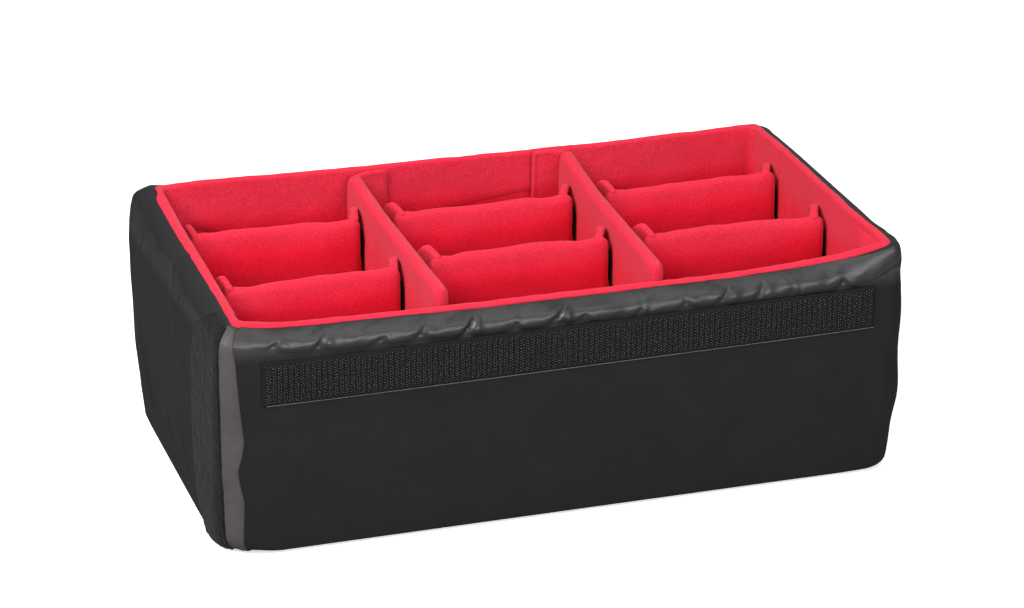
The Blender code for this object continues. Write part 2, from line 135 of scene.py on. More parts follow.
def makeStudio():
    world = bpy.data.worlds.new("paleStudio")
    bpy.context.scene.world = world
    world.use_nodes = True
    tree = world.node_tree
    tree.nodes.clear()
    seen, _ = seenDirectly(tree)
    ambient = addNode(tree, "ShaderNodeBackground", {"Color": (1, 1, 1, 1), "Strength": studio["ambient"]})
    white = addNode(tree, "ShaderNodeBackground", {"Color": (1, 1, 1, 1), "Strength": 1.0})
    mix = addNode(tree, "ShaderNodeMixShader", {0: seen, 1: ambient.outputs[0], 2: white.outputs[0]})
    addNode(tree, "ShaderNodeOutputWorld", {0: mix.outputs[0]})
    mesh = bpy.data.meshes.new("studioFloor")
    far, height = studio["floorReach"], studio["floorHeight"]
    corners = [(x * far, y * far, height) for x, y in ((-1, -1), (1, -1), (1, 1), (-1, 1))]
    mesh.from_pydata(corners, [], [(0, 1, 2, 3)])
    floor = bpy.data.objects.new("studioFloor", mesh)
    bpy.context.scene.collection.objects.link(floor)
    material = bpy.data.materials.new("paleSweep")
    material.use_nodes = True
    tree = material.node_tree
    tree.nodes.clear()
    seen, fromCamera = seenDirectly(tree)
    shown = addNode(tree, "ShaderNodeBsdfDiffuse", {"Color": toLinear(studio["floorColour"])})
    bounce = addNode(tree, "ShaderNodeBsdfDiffuse", {"Color": toLinear(studio["floorBounce"])})
    mix = addNode(tree, "ShaderNodeMixShader", {0: seen, 1: bounce.outputs[0], 2: shown.outputs[0]})
    lift = addNode(tree, "ShaderNodeMath", {0: fromCamera, 1: studio["floorLift"]}, operation="MULTIPLY")
    glow = addNode(tree, "ShaderNodeEmission", {"Color": (1, 1, 1, 1), "Strength": lift.outputs[0]})
    both = addNode(tree, "ShaderNodeAddShader", {0: mix.outputs[0], 1: glow.outputs[0]})
    addNode(tree, "ShaderNodeOutputMaterial", {0: both.outputs[0]})
    mesh.materials.append(material)


makeCamera()
makeLamps()
makeStudio()
bpy.context.scene.view_settings.view_transform = "Standard"
print("camera, lamps and floor are in place")


# Materials
def newMaterial(name):
    material = bpy.data.materials.new(name)
    material.use_nodes = True
    tree = material.node_tree
    return material, tree, tree.nodes["Principled BSDF"]


def rampNode(tree, factor, stops):  # stops are (place, hex)
    node = addNode(tree, "ShaderNodeValToRGB", {0: factor})
    ramp = node.color_ramp
    while len(ramp.elements) < len(stops):
        ramp.elements.new(0.5)
    for element, (place, code) in zip(ramp.elements, stops):
        element.position, element.color = place, toLinear(code)
    return node.outputs[0]


def makeFleece(name, look):
    # Polyester loop fleece, knitted and brushed: a soft matt nap with tufts about 1 mm wide and no gloss,
    # a pale bloom where the eye meets the fibres edge on, and a paler pink high up that is a painted
    # highlight of the lit tops.
    material, tree, shader = newMaterial(name)
    place = addNode(tree, "ShaderNodeTexCoord").outputs["Object"]
    tufts = addNode(tree, "ShaderNodeTexNoise", {"Vector": place, "Scale": 1 / look["tuft"], "Detail": 2.5,
                                                 "Roughness": 0.62, "Distortion": 0.35}).outputs[0]
    fibres = addNode(tree, "ShaderNodeTexNoise", {"Vector": place, "Scale": 1 / look["fibre"], "Detail": 2.0,
                                                  "Roughness": 0.7}).outputs[0]
    clouds = addNode(tree, "ShaderNodeTexNoise",
                     {"Vector": place, "Scale": 1 / look["cloud"], "Detail": 2.0}).outputs[0]
    level = 0.0
    for grain, share in zip((tufts, fibres, clouds), look["shares"]):
        level = addNode(tree, "ShaderNodeMath", {0: grain, 1: share, 2: level},
                        operation="MULTIPLY_ADD").outputs[0]
    height = addNode(tree, "ShaderNodeSeparateXYZ", {0: place}).outputs[2]
    ragged = addNode(tree, "ShaderNodeMath", {0: clouds, 1: look["ragged"], 2: height},
                     operation="MULTIPLY_ADD").outputs[0]
    # painted highlight: above a ragged height the colour turns to the paler stops, light painted onto the
    # tops and upper walls
    paintedTopLight = addNode(tree, "ShaderNodeMapRange",
                   {"Value": ragged, "From Min": look["topHighlightFrom"], "From Max": look["topHighlightTo"]},
                   interpolation_type="SMOOTHSTEP").outputs[0]
    colour = addNode(tree, "ShaderNodeMix", {0: paintedTopLight, 6: rampNode(tree, level, look["stops"]),
                                             7: rampNode(tree, level, look["topHighlightStops"])},
                     data_type="RGBA").outputs[2]
    bump = addNode(tree, "ShaderNodeBump", {"Height": tufts, "Distance": look["tuftDepth"], "Strength": 1.0})
    nap = addNode(tree, "ShaderNodeBump", {"Height": fibres, "Distance": look["fibreDepth"], "Strength": 1.0,
                                           "Normal": bump.outputs[0]})
    tree.links.new(colour, shader.inputs["Base Color"])
    tree.links.new(nap.outputs[0], shader.inputs["Normal"])
    shader.inputs["Roughness"].default_value = 1.0
    shader.inputs["Specular IOR Level"].default_value = look["gloss"]
    shader.inputs["IOR"].default_value = 1.55
    shader.inputs["Sheen Weight"].default_value = look["sheen"]
    shader.inputs["Sheen Roughness"].default_value = look["sheenRoughness"]
    shader.inputs["Sheen Tint"].default_value = toLinear(look["sheenTint"])
    return material


def makeNylon(name, look):
    # Coated nylon pack cloth, plain woven: threads about 0.4 mm apart, drawn at 0.8 mm so that they show.
    # Their crowns are smooth and catch a satin light on the creases, the gaps between them are matt and dark.
    # Where the cloth is gathered loosely at the top, more of it shines than where it is drawn tight, which is
    # low down everywhere and, less so, at the top of the left wall.
    material, tree, matt = newMaterial(name)
    coords = addNode(tree, "ShaderNodeTexCoord")
    thread = {"Vector": coords.outputs["UV"], "Scale": look["scale"], "Distortion": 0.6, "Detail": 1.0,
              "Detail Scale": 0.6}
    warp = addNode(tree, "ShaderNodeTexWave", thread, bands_direction="X")
    weft = addNode(tree, "ShaderNodeTexWave", {**thread, "Phase Offset": 1.3}, bands_direction="Y")
    weave = addNode(tree, "ShaderNodeMath", {0: warp.outputs["Fac"], 1: weft.outputs["Fac"]},
                    operation="MULTIPLY")
    here = coords.outputs["Object"]
    dust = addNode(tree, "ShaderNodeTexNoise",
                   {"Vector": here, "Scale": look["dustScale"], "Detail": 4.0, "Roughness": 0.6}).outputs[0]
    slub = addNode(tree, "ShaderNodeTexNoise",
                   {"Vector": here, "Scale": look["slubScale"], "Detail": 2.0}).outputs[0]
    mixed = 0.0
    for grain, share in zip((weave.outputs[0], dust, slub), look["shares"]):
        mixed = addNode(tree, "ShaderNodeMath", {0: grain, 1: share, 2: mixed},
                        operation="MULTIPLY_ADD").outputs[0]
    colour = rampNode(tree, mixed, look["stops"])
    rough = addNode(tree, "ShaderNodeMapRange", {"Value": dust, "To Min": look["roughness"][0],
                                                 "To Max": look["roughness"][1]}).outputs[0]
    threads = addNode(tree, "ShaderNodeBump", {"Height": weave.outputs[0], "Distance": look["threadDepth"],
                                               "Strength": 0.8})
    slubs = addNode(tree, "ShaderNodeBump", {"Height": slub, "Distance": look["slubDepth"], "Strength": 0.7,
                                             "Normal": threads.outputs[0]}).outputs[0]
    crown = addNode(tree, "ShaderNodeBsdfPrincipled",
                    {"Base Color": colour, "Roughness": rough, "Normal": slubs})
    crown.inputs["IOR"].default_value = 1.55
    crown.inputs["Specular IOR Level"].default_value = look["gloss"]
    tree.links.new(colour, matt.inputs["Base Color"])
    tree.links.new(slubs, matt.inputs["Normal"])
    matt.inputs["Roughness"].default_value = 1.0
    matt.inputs["Specular IOR Level"].default_value = 0.0
    share = addNode(tree, "ShaderNodeMapRange", {"Value": weave.outputs[0], "To Min": look["crown"] * 0.6,
                                                 "To Max": look["crown"] * 1.6}).outputs[0]
    axes = addNode(tree, "ShaderNodeSeparateXYZ", {0: here}).outputs
    leftWall = -halfLength
    offLeft = addNode(tree, "ShaderNodeMapRange",
                      {"Value": axes[0], "From Min": leftWall - 0.006, "From Max": leftWall + 0.006,
                       "To Min": look["tight"], "To Max": look["loose"]}).outputs[0]
    loose = addNode(tree, "ShaderNodeMapRange",
                    {"Value": axes[2], "From Min": look["looseFrom"], "To Min": 1.0,
                     "From Max": look["looseTo"], "To Max": offLeft},
                    interpolation_type="SMOOTHSTEP").outputs[0]
    share = addNode(tree, "ShaderNodeMath", {0: share, 1: loose}, operation="MULTIPLY").outputs[0]
    both = addNode(tree, "ShaderNodeMixShader", {0: share, 1: matt.outputs[0], 2: crown.outputs[0]})
    tree.links.new(both.outputs[0], tree.nodes["Material Output"].inputs[0])
    return material


def makeHookPlastic(name, look):
    # Nylon hook tape: woven ground with heat-set monofilament hooks, near black with small bright glints; the
    # hooks' paler grey is partly painted highlight beside their real gloss.
    material, tree, shader = newMaterial(name)
    place = addNode(tree, "ShaderNodeTexCoord").outputs["Object"]
    grain = addNode(tree, "ShaderNodeTexNoise",
                    {"Vector": place, "Scale": look["grainScale"], "Detail": 2.0}).outputs[0]
    tree.links.new(rampNode(tree, grain, look["stops"]), shader.inputs["Base Color"])
    bump = addNode(tree, "ShaderNodeBump", {"Height": grain, "Distance": look["depth"], "Strength": 0.8})
    tree.links.new(bump.outputs[0], shader.inputs["Normal"])
    shader.inputs["Roughness"].default_value = look["roughness"]
    shader.inputs["IOR"].default_value = 1.53
    shader.inputs["Specular IOR Level"].default_value = look["gloss"]
    return material


def makeLoopPile(name, look):
    # Napped loop tape: short curled nylon pile, dull and woolly, a little greyer than the cloth beside it.
    material, tree, shader = newMaterial(name)
    place = addNode(tree, "ShaderNodeTexCoord").outputs["Object"]
    curls = addNode(tree, "ShaderNodeTexVoronoi",
                    {"Vector": place, "Scale": 1 / look["curl"], "Randomness": 1.0}).outputs[0]
    fuzz = addNode(tree, "ShaderNodeTexNoise",
                   {"Vector": place, "Scale": look["fuzzScale"], "Detail": 3.0, "Roughness": 0.7}).outputs[0]
    worn = addNode(tree, "ShaderNodeTexNoise",
                   {"Vector": place, "Scale": look["wornScale"], "Detail": 3.0}).outputs[0]
    level = 0.0
    for grain, share in zip((fuzz, worn), look["shares"]):
        level = addNode(tree, "ShaderNodeMath", {0: grain, 1: share, 2: level},
                        operation="MULTIPLY_ADD").outputs[0]
    tree.links.new(rampNode(tree, level, look["stops"]), shader.inputs["Base Color"])
    curled = addNode(tree, "ShaderNodeBump",
                     {"Height": curls, "Distance": look["curlDepth"], "Strength": 0.9})
    bump = addNode(tree, "ShaderNodeBump", {"Height": fuzz, "Distance": look["fuzzDepth"], "Strength": 1.0,
                                            "Normal": curled.outputs[0]})
    tree.links.new(bump.outputs[0], shader.inputs["Normal"])
    shader.inputs["Roughness"].default_value = 1.0
    shader.inputs["Specular IOR Level"].default_value = look["gloss"]
    shader.inputs["Sheen Weight"].default_value = look["sheen"]
    shader.inputs["Sheen Roughness"].default_value = look["sheenRoughness"]
    return material


def makeThread(name, look):
    # Twisted polyester sewing thread: fine slanting ply marks and a soft gloss.
    material, tree, shader = newMaterial(name)
    place = addNode(tree, "ShaderNodeTexCoord").outputs["Object"]
    ply = addNode(tree, "ShaderNodeTexNoise", {"Vector": place, "Scale": 1600.0, "Detail": 1.0}).outputs[0]
    tree.links.new(rampNode(tree, ply, look["stops"]), shader.inputs["Base Color"])
    bump = addNode(tree, "ShaderNodeBump", {"Height": ply, "Distance": 0.0001, "Strength": 0.6})
    tree.links.new(bump.outputs[0], shader.inputs["Normal"])
    shader.inputs["Roughness"].default_value = 0.6
    shader.inputs["IOR"].default_value = 1.55
    shader.inputs["Specular IOR Level"].default_value = 0.35
    return material


redFleece = makeFleece("redLoopFleece", {
    "tuft": 0.0009, "fibre": 0.0004, "cloud": 0.045, "tuftDepth": 0.00040, "fibreDepth": 0.00014,
    "shares": (0.75, 0.16, 0.10), "gloss": 0.12,
    "stops": [(0.34, "c00820"), (0.50, "d00c27"), (0.64, "da1833")],
    # the paler stops below are a painted highlight for the tops and upper walls
    "topHighlightStops": [(0.34, "bd1a2f"), (0.50, "c9253b"), (0.64, "d23448")],
    "topHighlightFrom": 0.142, "topHighlightTo": 0.166, "ragged": 0.012,
    "sheen": 0.22, "sheenRoughness": 0.45, "sheenTint": "ffa8b2",
})
nylonWeave = {
    "scale": 390.0, "threadDepth": 0.00003, "dustScale": 34.0, "slubScale": 420.0, "slubDepth": 0.00012,
    "shares": (0.30, 0.55, 0.15), "crown": 0.19, "looseFrom": 0.140, "looseTo": 0.152,
}
blackNylon = makeNylon("blackPackCloth", {
    **nylonWeave, "stops": [(0.25, "151314"), (0.55, "1a1819"), (0.80, "201e1f")],
    "roughness": (0.36, 0.44), "gloss": 1.0, "tight": 1.8, "loose": 3.0,
})
# painted highlight: the black cloth's reflection on the round front left corner is given as this paler grey
# cloth
cornerHighlightNylon = makeNylon("cornerPaintedHighlight", {
    **nylonWeave, "stops": [(0.25, "403c3d"), (0.55, "4a4647"), (0.80, "535050")],
    "roughness": (0.38, 0.46), "gloss": 0.6, "tight": 1.0, "loose": 1.2,
})
hookGround = makeHookPlastic("hookTapeGround", {
    "grainScale": 900.0, "stops": [(0.35, "0c0b0b"), (0.60, "131212"), (0.80, "1b1919")],
    "depth": 0.0002, "roughness": 0.8, "gloss": 0.15,
})
# the hooks get a paler grey than the black ground: a painted highlight that makes their glints show, beside
# their real gloss
hookPlastic = makeHookPlastic("hookFilament", {
    "grainScale": 900.0, "stops": [(0.35, "2c2a2a"), (0.60, "504c4c"), (0.85, "7c7676")],
    "depth": 0.00003, "roughness": 0.28, "gloss": 0.8,
})
loopPile = makeLoopPile("loopTapePile", {
    "curl": 0.0016, "fuzzScale": 700.0, "wornScale": 60.0, "shares": (0.7, 0.3),
    "stops": [(0.30, "0c0b0b"), (0.50, "131212"), (0.70, "201e1e")],
    "curlDepth": 0.0005, "fuzzDepth": 0.0004, "gloss": 0.1, "sheen": 0.045, "sheenRoughness": 0.6,
})
blackThread = makeThread("blackThread", {"stops": [(0.35, "1b1919"), (0.65, "2c2929")]})
# pale grey thread, used only for the painted highlight along the tape's lower edge
greyThread = makeThread("greyThread", {"stops": [(0.35, "4e4b4b"), (0.65, "6c6868")]})
redThread = makeThread("redThread", {"stops": [(0.35, "8c0a1a"), (0.65, "a81226")]})
print("materials are made")


# The plan of the padded box: a perimeter counterclockwise from the front's left end, in runs and corners
# the fuzzy strip on the left wall, and beside it round the corner a smooth pale band that is a painted
# highlight
sides = ("front", "right", "back", "left")
sideFrames = {"front": ((1, 0), (0, -1)), "right": ((0, 1), (1, 0)), "back": ((-1, 0), (0, 1)),
              "left": ((0, -1), (-1, 0))}
reach = box["corner"]
frontRun, sideRun, cornerRun = box["length"] - 2 * reach, box["width"] - 2 * reach, reach * math.pi / 2
runLengths = (frontRun, sideRun, frontRun, sideRun)
runStarts = [sum(runLengths[:k]) + k * cornerRun for k in range(4)]
perimeter = runStarts[3] + sideRun + cornerRun
cornerPlaces = {  # the middle of each corner
    "frontRight": runStarts[1] - cornerRun / 2, "backRight": runStarts[2] - cornerRun / 2,
    "backLeft": runStarts[3] - cornerRun / 2, "frontLeft": perimeter - cornerRun / 2,
}
# How far the padding swells out of each wall, mm, at these heights, mm: the wall's start, middle and end
swell = {
    "heights": (0, 10, 25, 60, 85, 110, 140, 153, 162, 168, 174),
    "front": ((2.4, 2.8, 3.0, 3.2, 3.0, 2.8, 2.2, 1.8, 1.2, 0.6, 0.0),
              (2.4, 3.4, 4.3, 5.5, 5.4, 4.8, 3.6, 2.8, 2.0, 1.1, 0.0),
              (3.0, 3.2, 3.5, 3.8, 3.6, 3.2, 2.6, 2.2, 1.5, 0.8, 0.0)),
    "right": ((5.2, 6.0, 6.8, 8.2, 8.3, 7.6, 6.3, 5.2, 3.8, 2.4, 0.6),
              (5.0, 6.0, 7.0, 8.6, 8.8, 8.0, 6.6, 5.2, 3.6, 2.2, 0.6),
              (4.4, 5.0, 6.0, 7.0, 7.0, 6.4, 5.2, 4.2, 3.0, 2.0, 0.5)),
    "back": ((2.4, 3.0, 3.5, 4.0, 4.0, 3.6, 3.0, 2.4, 1.6, 0.9, 0.2),
             (2.4, 3.4, 4.4, 5.4, 5.4, 5.0, 4.0, 3.0, 2.0, 1.1, 0.2),
             (3.0, 3.4, 4.0, 4.5, 4.5, 4.0, 3.2, 2.6, 1.8, 1.2, 0.5)),
    "left": ((5.2, 6.0, 7.5, 9.8, 10.6, 11.2, 11.0, 10.0, 8.6, 6.8, 4.0),
             (5.2, 6.2, 7.6, 9.2, 9.8, 10.0, 9.0, 7.8, 6.4, 4.0, 1.5),
             (5.2, 5.8, 6.2, 6.4, 6.2, 5.8, 5.0, 4.4, 3.4, 2.0, 0.5)),
}
rim = {  # how far the rim hangs below the corners' tops: along the perimeter, then the drop, both in mm
    "drop": [(-17, 6.4), (0, 11), (30, 12.3), (98, 13.1), (168, 13.8), (283, 13.7), (312, 14.1), (356, 13.5),
             (386, 12.4), (416, 10.2), (437, 6.6), (453, 1.4), (480, 0.2), (510, -1.6), (572, -2.8),
             (632, -4.2), (692, -4.4), (709, -4.0), (820, -2.4), (937, -3.0), (1051, -3.8), (1139, -5.4),
             (1162, -4.6), (1195, -1.6), (1230, 0.4), (1282, 2.0), (1340, 3.2), (1380, 4.6)],
    "sagStart": 0.80,
}


def alongTable(table, s, blur=0.012):
    # A table of (place, value) in mm, closed round the perimeter and softened
    places = np.array([p[0] for p in table]) / 1000
    values = np.array([p[1] for p in table]) / 1000
    places = np.concatenate([places - perimeter, places, places + perimeter])
    return np.mean([np.interp(s + b, places, np.tile(values, 3)) for b in np.linspace(-blur, blur, 7)],
                   axis=0)


def ringNoise(s, z, alongSize, upSize, seed):  # smooth noise from -1 to 1 that closes round the perimeter
    cells = max(4, round(perimeter / alongSize))
    table = np.random.default_rng(seed).uniform(-1, 1, (cells, 97))
    x, y = np.mod(s / perimeter, 1.0) * cells, np.mod(z / upSize + 31.0, 96.0)
    i, j = np.minimum(np.floor(x).astype(int), cells - 1), np.floor(y).astype(int)
    fx, fy = smoothStep(x - i), smoothStep(y - j)
    i0, i1 = i % cells, (i + 1) % cells
    low = table[i0, j] * (1 - fx) + table[i1, j] * fx
    high = table[i0, j + 1] * (1 - fx) + table[i1, j + 1] * fx
    return low * (1 - fy) + high * fy


def nearPlace(s, place, distance):  # 1 at a place on the perimeter, falling to 0 at the distance
    away = np.abs(np.mod(s - place + perimeter / 2, perimeter) - perimeter / 2)
    return smoothStep(1 - away / distance)


def outerRadius(z):  # the plan corners are round below and sharp at the rim
    return np.interp(z, (0.0, 0.03, 0.09, 0.15, 0.174), (0.0215, 0.0205, 0.0150, 0.0095, 0.0070))


def wallPlace(s, z, inset, radius, level=None, share=1.0):
    # Points and outward directions at places of the wall
    s, z, inset, radius, level, share = np.broadcast_arrays(np.mod(s, perimeter), z, inset, radius,
                                                            z if level is None else level, share)
    plan, out = np.zeros(s.shape + (2,)), np.zeros(s.shape + (2,))

    def swelling(side, where, rows):
        return share[rows] * np.interp(level[rows] * 1000, swell["heights"], swell[side][where]) / 1000

    for k, side in enumerate(sides):
        direction, outward = (np.array(v, float) for v in sideFrames[side])
        halfAlong, halfOut = (halfLength, halfWidth) if k % 2 == 0 else (halfWidth, halfLength)
        before, after = sides[k - 1], sides[(k + 1) % 4]
        rows = (s >= runStarts[k]) & (s < runStarts[k] + runLengths[k])
        if rows.any():
            u = 2 * (s[rows] - runStarts[k]) / runLengths[k] - 1
            first, middle, last = (swelling(side, i, rows) for i in range(3))
            here = first + (last - first) * (u + 1) / 2 + (1 - u ** 4) * (middle - (first + last) / 2)
            low = halfAlong + swelling(before, 2, rows) - inset[rows] - reach
            high = halfAlong + swelling(after, 0, rows) - inset[rows] - reach
            along = -low + (low + high) * (u + 1) / 2
            plan[rows] = outward * (halfOut + here - inset[rows])[:, None] + direction * along[:, None]
            out[rows] = outward
        rows = (s >= runStarts[k] + runLengths[k]) & (s < runStarts[k] + runLengths[k] + cornerRun + 1e-9)
        if rows.any():
            turnShare = (s[rows] - runStarts[k] - runLengths[k]) / cornerRun
            r = np.clip(radius[rows], 0.001, reach - 1e-4)
            straight = reach - r
            travelled = turnShare * (2 * straight + r * math.pi / 2)
            angle = np.clip((travelled - straight) / r, 0, math.pi / 2)
            p = np.minimum(travelled, straight) + r * np.sin(angle)
            q = r * (1 - np.cos(angle)) + np.maximum(travelled - straight - r * math.pi / 2, 0)
            outPlace = halfOut + swelling(side, 2, rows) - inset[rows] - q
            alongPlace = halfAlong + swelling(after, 0, rows) - inset[rows] - reach + p
            plan[rows] = outward * outPlace[:, None] + direction * alongPlace[:, None]
            out[rows] = outward * np.cos(angle)[:, None] + direction * np.sin(angle)[:, None]
    risen = (z / box["height"] - rim["sagStart"]) / (1 - rim["sagStart"])
    sag = alongTable(rim["drop"], s) * smoothStep(risen)
    return np.concatenate([plan, (z - sag)[..., None]], axis=-1), out


def ringPlaces(step):  # places round the perimeter, closer together in the corners
    parts = []
    for k in range(4):
        count = round(runLengths[k] / step)
        parts.append(runStarts[k] + np.arange(count) * runLengths[k] / count)
        count = round(cornerRun / step * 1.6)
        parts.append(runStarts[k] + runLengths[k] + np.arange(count) * cornerRun / count)
    return np.concatenate(parts)


def gridNormals(points, closed=True):  # outward normals of a (stations, rows) grid
    if closed:
        alongStations = np.roll(points, -1, axis=0) - np.roll(points, 1, axis=0)
    else:
        alongStations = np.gradient(points, axis=0)
    normals = np.cross(alongStations, np.gradient(points, axis=1))
    return normals / np.maximum(np.linalg.norm(normals, axis=2, keepdims=True), 1e-12)


def finishMesh(name, mesh, material, body=None):
    mesh.materials.clear()
    mesh.materials.append(material)
    mesh.shade_smooth()
    obj = bpy.data.objects.new(name, mesh)
    bpy.context.scene.collection.objects.link(obj)
    if body:
        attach(obj, body)
    return obj


def gridMesh(name, points, u, v, closeStations=True, caps=False):
    # Quads of a grid with closed rows, with a UV map in metres
    count, rows = points.shape[:2]
    u, v = np.broadcast_to(u, (count, rows)), np.broadcast_to(v, (count, rows))
    i, j = np.meshgrid(np.arange(count if closeStations else count - 1), np.arange(rows), indexing="ij")
    i, j = i.ravel(), j.ravel()
    i1, j1 = (i + 1) % count, (j + 1) % rows
    quads = np.stack([i * rows + j, i1 * rows + j, i1 * rows + j1, i * rows + j1], axis=1)
    faces = quads.tolist()
    if caps:
        faces.append(list(range(rows)))
        faces.append([(count - 1) * rows + j for j in range(rows)][::-1])
    mesh = bpy.data.meshes.new(name)
    mesh.from_pydata(points.reshape(-1, 3).tolist(), [], faces)
    lap = np.where(i1 == 0, perimeter, 0.0) if closeStations else 0.0
    step = np.where(j1 == 0, 0.001, 0.0)
    uu = np.stack([u[i, j], u[i1, j] + lap, u[i1, j1] + lap, u[i, j1]], axis=1)
    vv = np.stack([v[i, j], v[i1, j], np.where(j1 == 0, v[i1, j] + step, v[i1, j1]),
                   np.where(j1 == 0, v[i, j] + step, v[i, j1])], axis=1)
    flat = np.stack([uu, vv], axis=2).reshape(-1, 2)
    if caps:
        flat = np.concatenate([flat, np.zeros((2 * rows, 2))])
    mesh.uv_layers.new(name="cloth").data.foreach_set("uv", flat.astype(np.float32).ravel())
    return mesh


def rowLengths(points):
    steps = np.linalg.norm(np.diff(points[0], axis=0), axis=1)
    return np.concatenate([[0.0], np.cumsum(steps)])


# The black sleeve: tight below, gathered and puffed over the shoulder
sleeve = {
    "step": 0.00135, "rollRows": 7, "wallRows": 34, "shoulderRows": 24, "thick": 0.0008, "lowest": 0.0004,
    "roll": 0.0045, "cornerRoll": 0.0065, "frontLeftRoll": 0.015, "underside": 0.009,
    "seamInset": 0.0071, "seamZ": 0.1722, "cornerPull": 0.0036,
    # where the gathers start: along the perimeter, then how far below the rim seam, both in mm
    "drop": [(-50, 12), (-20, 12), (-8, 13), (4, 17), (14, 22), (28, 25.5), (48, 28.5), (150, 29.5),
             (400, 29), (430, 26), (453, 20), (480, 18), (572, 17), (660, 15), (692, 12), (760, 15),
             (927, 17), (1100, 14), (1162, 7), (1192, 5), (1223, 6.5), (1253, 8.5), (1280, 11),
             (1327, 12.5)],
    "leastDrop": 0.7, "tooth": 0.0048,
    "straight": {"front": 0.42, "right": 0.25, "back": 0.25, "left": 0.70},
    "puff": {"front": 0.0017, "right": 0.0002, "back": 0.0010, "left": 0.0016},
    "peak": {"backLeft": 0.0024, "frontRight": 0.0018, "frontLeft": 0.0004},
    "ruck": {"frontRight": 0.0011, "backRight": 0.0008, "backLeft": 0.0008, "frontLeft": 0.0002},
    "fold": 0.0017, "foldBase": 0.35, "crease": 0.0003, "creaseWidth": 0.0020,
    "pucker": 0.0030, "puckerShare": {"front": 1.15, "right": 0.1, "back": 0.5, "left": 0.75},
    "puckerGap": {"front": (0.018, 0.040), "left": (0.012, 0.024), "right": (0.018, 0.040),
                  "back": (0.018, 0.040)},
    "puckerLean": 0.014, "leftPleat": 0.026, "seed": 11,
}
# Smooth noise of the cloth: depth, size along, size up and seed
clothNoise = {
    "edge": (0.0012, 0.03, 1.0, 5), "leftEdge": (0.0026, 0.019, 1.0, 7), "leftNick": (0.0005, 0.007, 1.0, 8),
    "wave": (0.0008, 0.075, 0.06, 1), "ripple": (0.00025, 0.02, 0.03, 2), "fold": (1.0, 0.026, 0.14, 3),
    "ruck": (1.0, 0.009, 0.03, 4), "puff": (0.4, 0.017, 0.03, 6), "slant": (0.00022, 0.006, 0.02, 9),
}
tape = {
    "left": -0.2172, "right": 0.2225, "bottom": 0.110, "top": 0.141, "lift": 0.0004, "thick": 0.0012,
    "border": 0.0024, "groove": 0.00035, "wander": 0.0004, "rise": 0.0026,
}
closure = {  # the fuzzy strip on the left wall and the smooth band round the corner beside it
    "stripTop": 0.1700, "stripBottom": 0.0012, "lift": 0.0003, "thick": 0.0017, "seamShare": 0.44,
    "stripEdge": [(1, -84), (12, -72), (27, -66), (60, -62), (116, -62), (138, -65), (150, -69), (158, -77),
                  (164, -86), (170, -97)],
    "bandBottom": 0.0012, "bandTop": 0.1712, "bandLift": 0.0001, "bandThick": 0.0007,
    "bandEdge": [(0, -231.5), (9, -231), (42, -230), (56, -233), (65, -234), (76, -231), (86, -229.5),
                 (116, -232.4), (140, -234), (157, -235.5), (172, -236)],
}


def clothField(name, s, z):
    depth, alongSize, upSize, seed = clothNoise[name]
    return depth * ringNoise(s, z, alongSize, upSize, seed)


def sideBlend(values, s, blur=0.02):  # a value for each side, softened over the corners
    table = np.zeros_like(s)
    for b in np.linspace(-blur, blur, 9):
        here = np.mod(s + b, perimeter)
        index = np.zeros(here.shape, int)
        for number, place in enumerate(cornerPlaces.values()):
            index = np.where(here > place, (number + 1) % 4, index)
        table = table + np.array([values[name] for name in sides])[index] / 9
    return table


def sideShare(s, *names, blur=0.02):  # 1 on the named sides, 0 on the others
    return sideBlend({side: int(side in names) for side in sides}, s, blur)


def listPuckers():  # grooves that run up from the lower edge of the gathers
    rng = random.Random(sleeve["seed"])
    found, s = [], 0.012
    while s < perimeter - 0.030:
        name = sides[sum(s > place for place in cornerPlaces.values()) % 4]
        found.append({"s": s, "slant": rng.uniform(0.1, 1.0), "width": rng.uniform(0.0030, 0.0056),
                      "depth": rng.uniform(0.4, 1.0), "tall": rng.uniform(0.35, 0.95), "side": name})
        if rng.random() < 0.15:  # a smaller one beside it
            found.append({"s": s + rng.uniform(0.005, 0.008), "slant": rng.uniform(0.2, 1.0),
                          "width": rng.uniform(0.0015, 0.0024), "depth": rng.uniform(0.3, 0.6),
                          "tall": rng.uniform(0.25, 0.5), "side": name})
        s += rng.uniform(*sleeve["puckerGap"][name])
    return found


def awayFrom(s, place):
    return np.mod(s - place + perimeter / 2, perimeter) - perimeter / 2


def cornerPull(s):  # the rim stands further out at the front right corner
    return sleeve["cornerPull"] * nearPlace(s, cornerPlaces["frontRight"], 0.055)


def footRoll(s):  # radius of the sleeve's roll under the box
    roll = np.full_like(s, sleeve["roll"])
    for name, place in cornerPlaces.items():
        wide = sleeve["frontLeftRoll"] if name == "frontLeft" else sleeve["cornerRoll"]
        roll = roll + nearPlace(s, place, 0.036) * (wide - sleeve["roll"])
    return roll


def besideClosure(s):  # 1 under the fuzzy strip and the band
    return np.clip(2.4 * nearPlace(s, perimeter - 0.047, 0.076), 0, 1)


def gatherDrop(s):  # how far the gathers reach below the rim seam
    left = sideShare(s, "left")
    loose = clothField("edge", s, s * 0)
    loose = loose + left * clothField("leftEdge", s, s * 0)
    loose = loose + left * clothField("leftNick", s, s * 0)
    teeth = np.zeros_like(s)
    for pucker in listPuckers():
        if pucker["side"] == "front":
            near = np.clip(1 - np.abs(awayFrom(s, pucker["s"])) / (1.5 * pucker["width"]), 0, 1)
            teeth = np.maximum(teeth, sleeve["tooth"] * pucker["depth"] * near ** 0.9)
    drop = alongTable(sleeve["drop"], s)
    return np.maximum(drop + (loose - teeth) * (1 - besideClosure(s)), sleeve["leastDrop"] * drop)


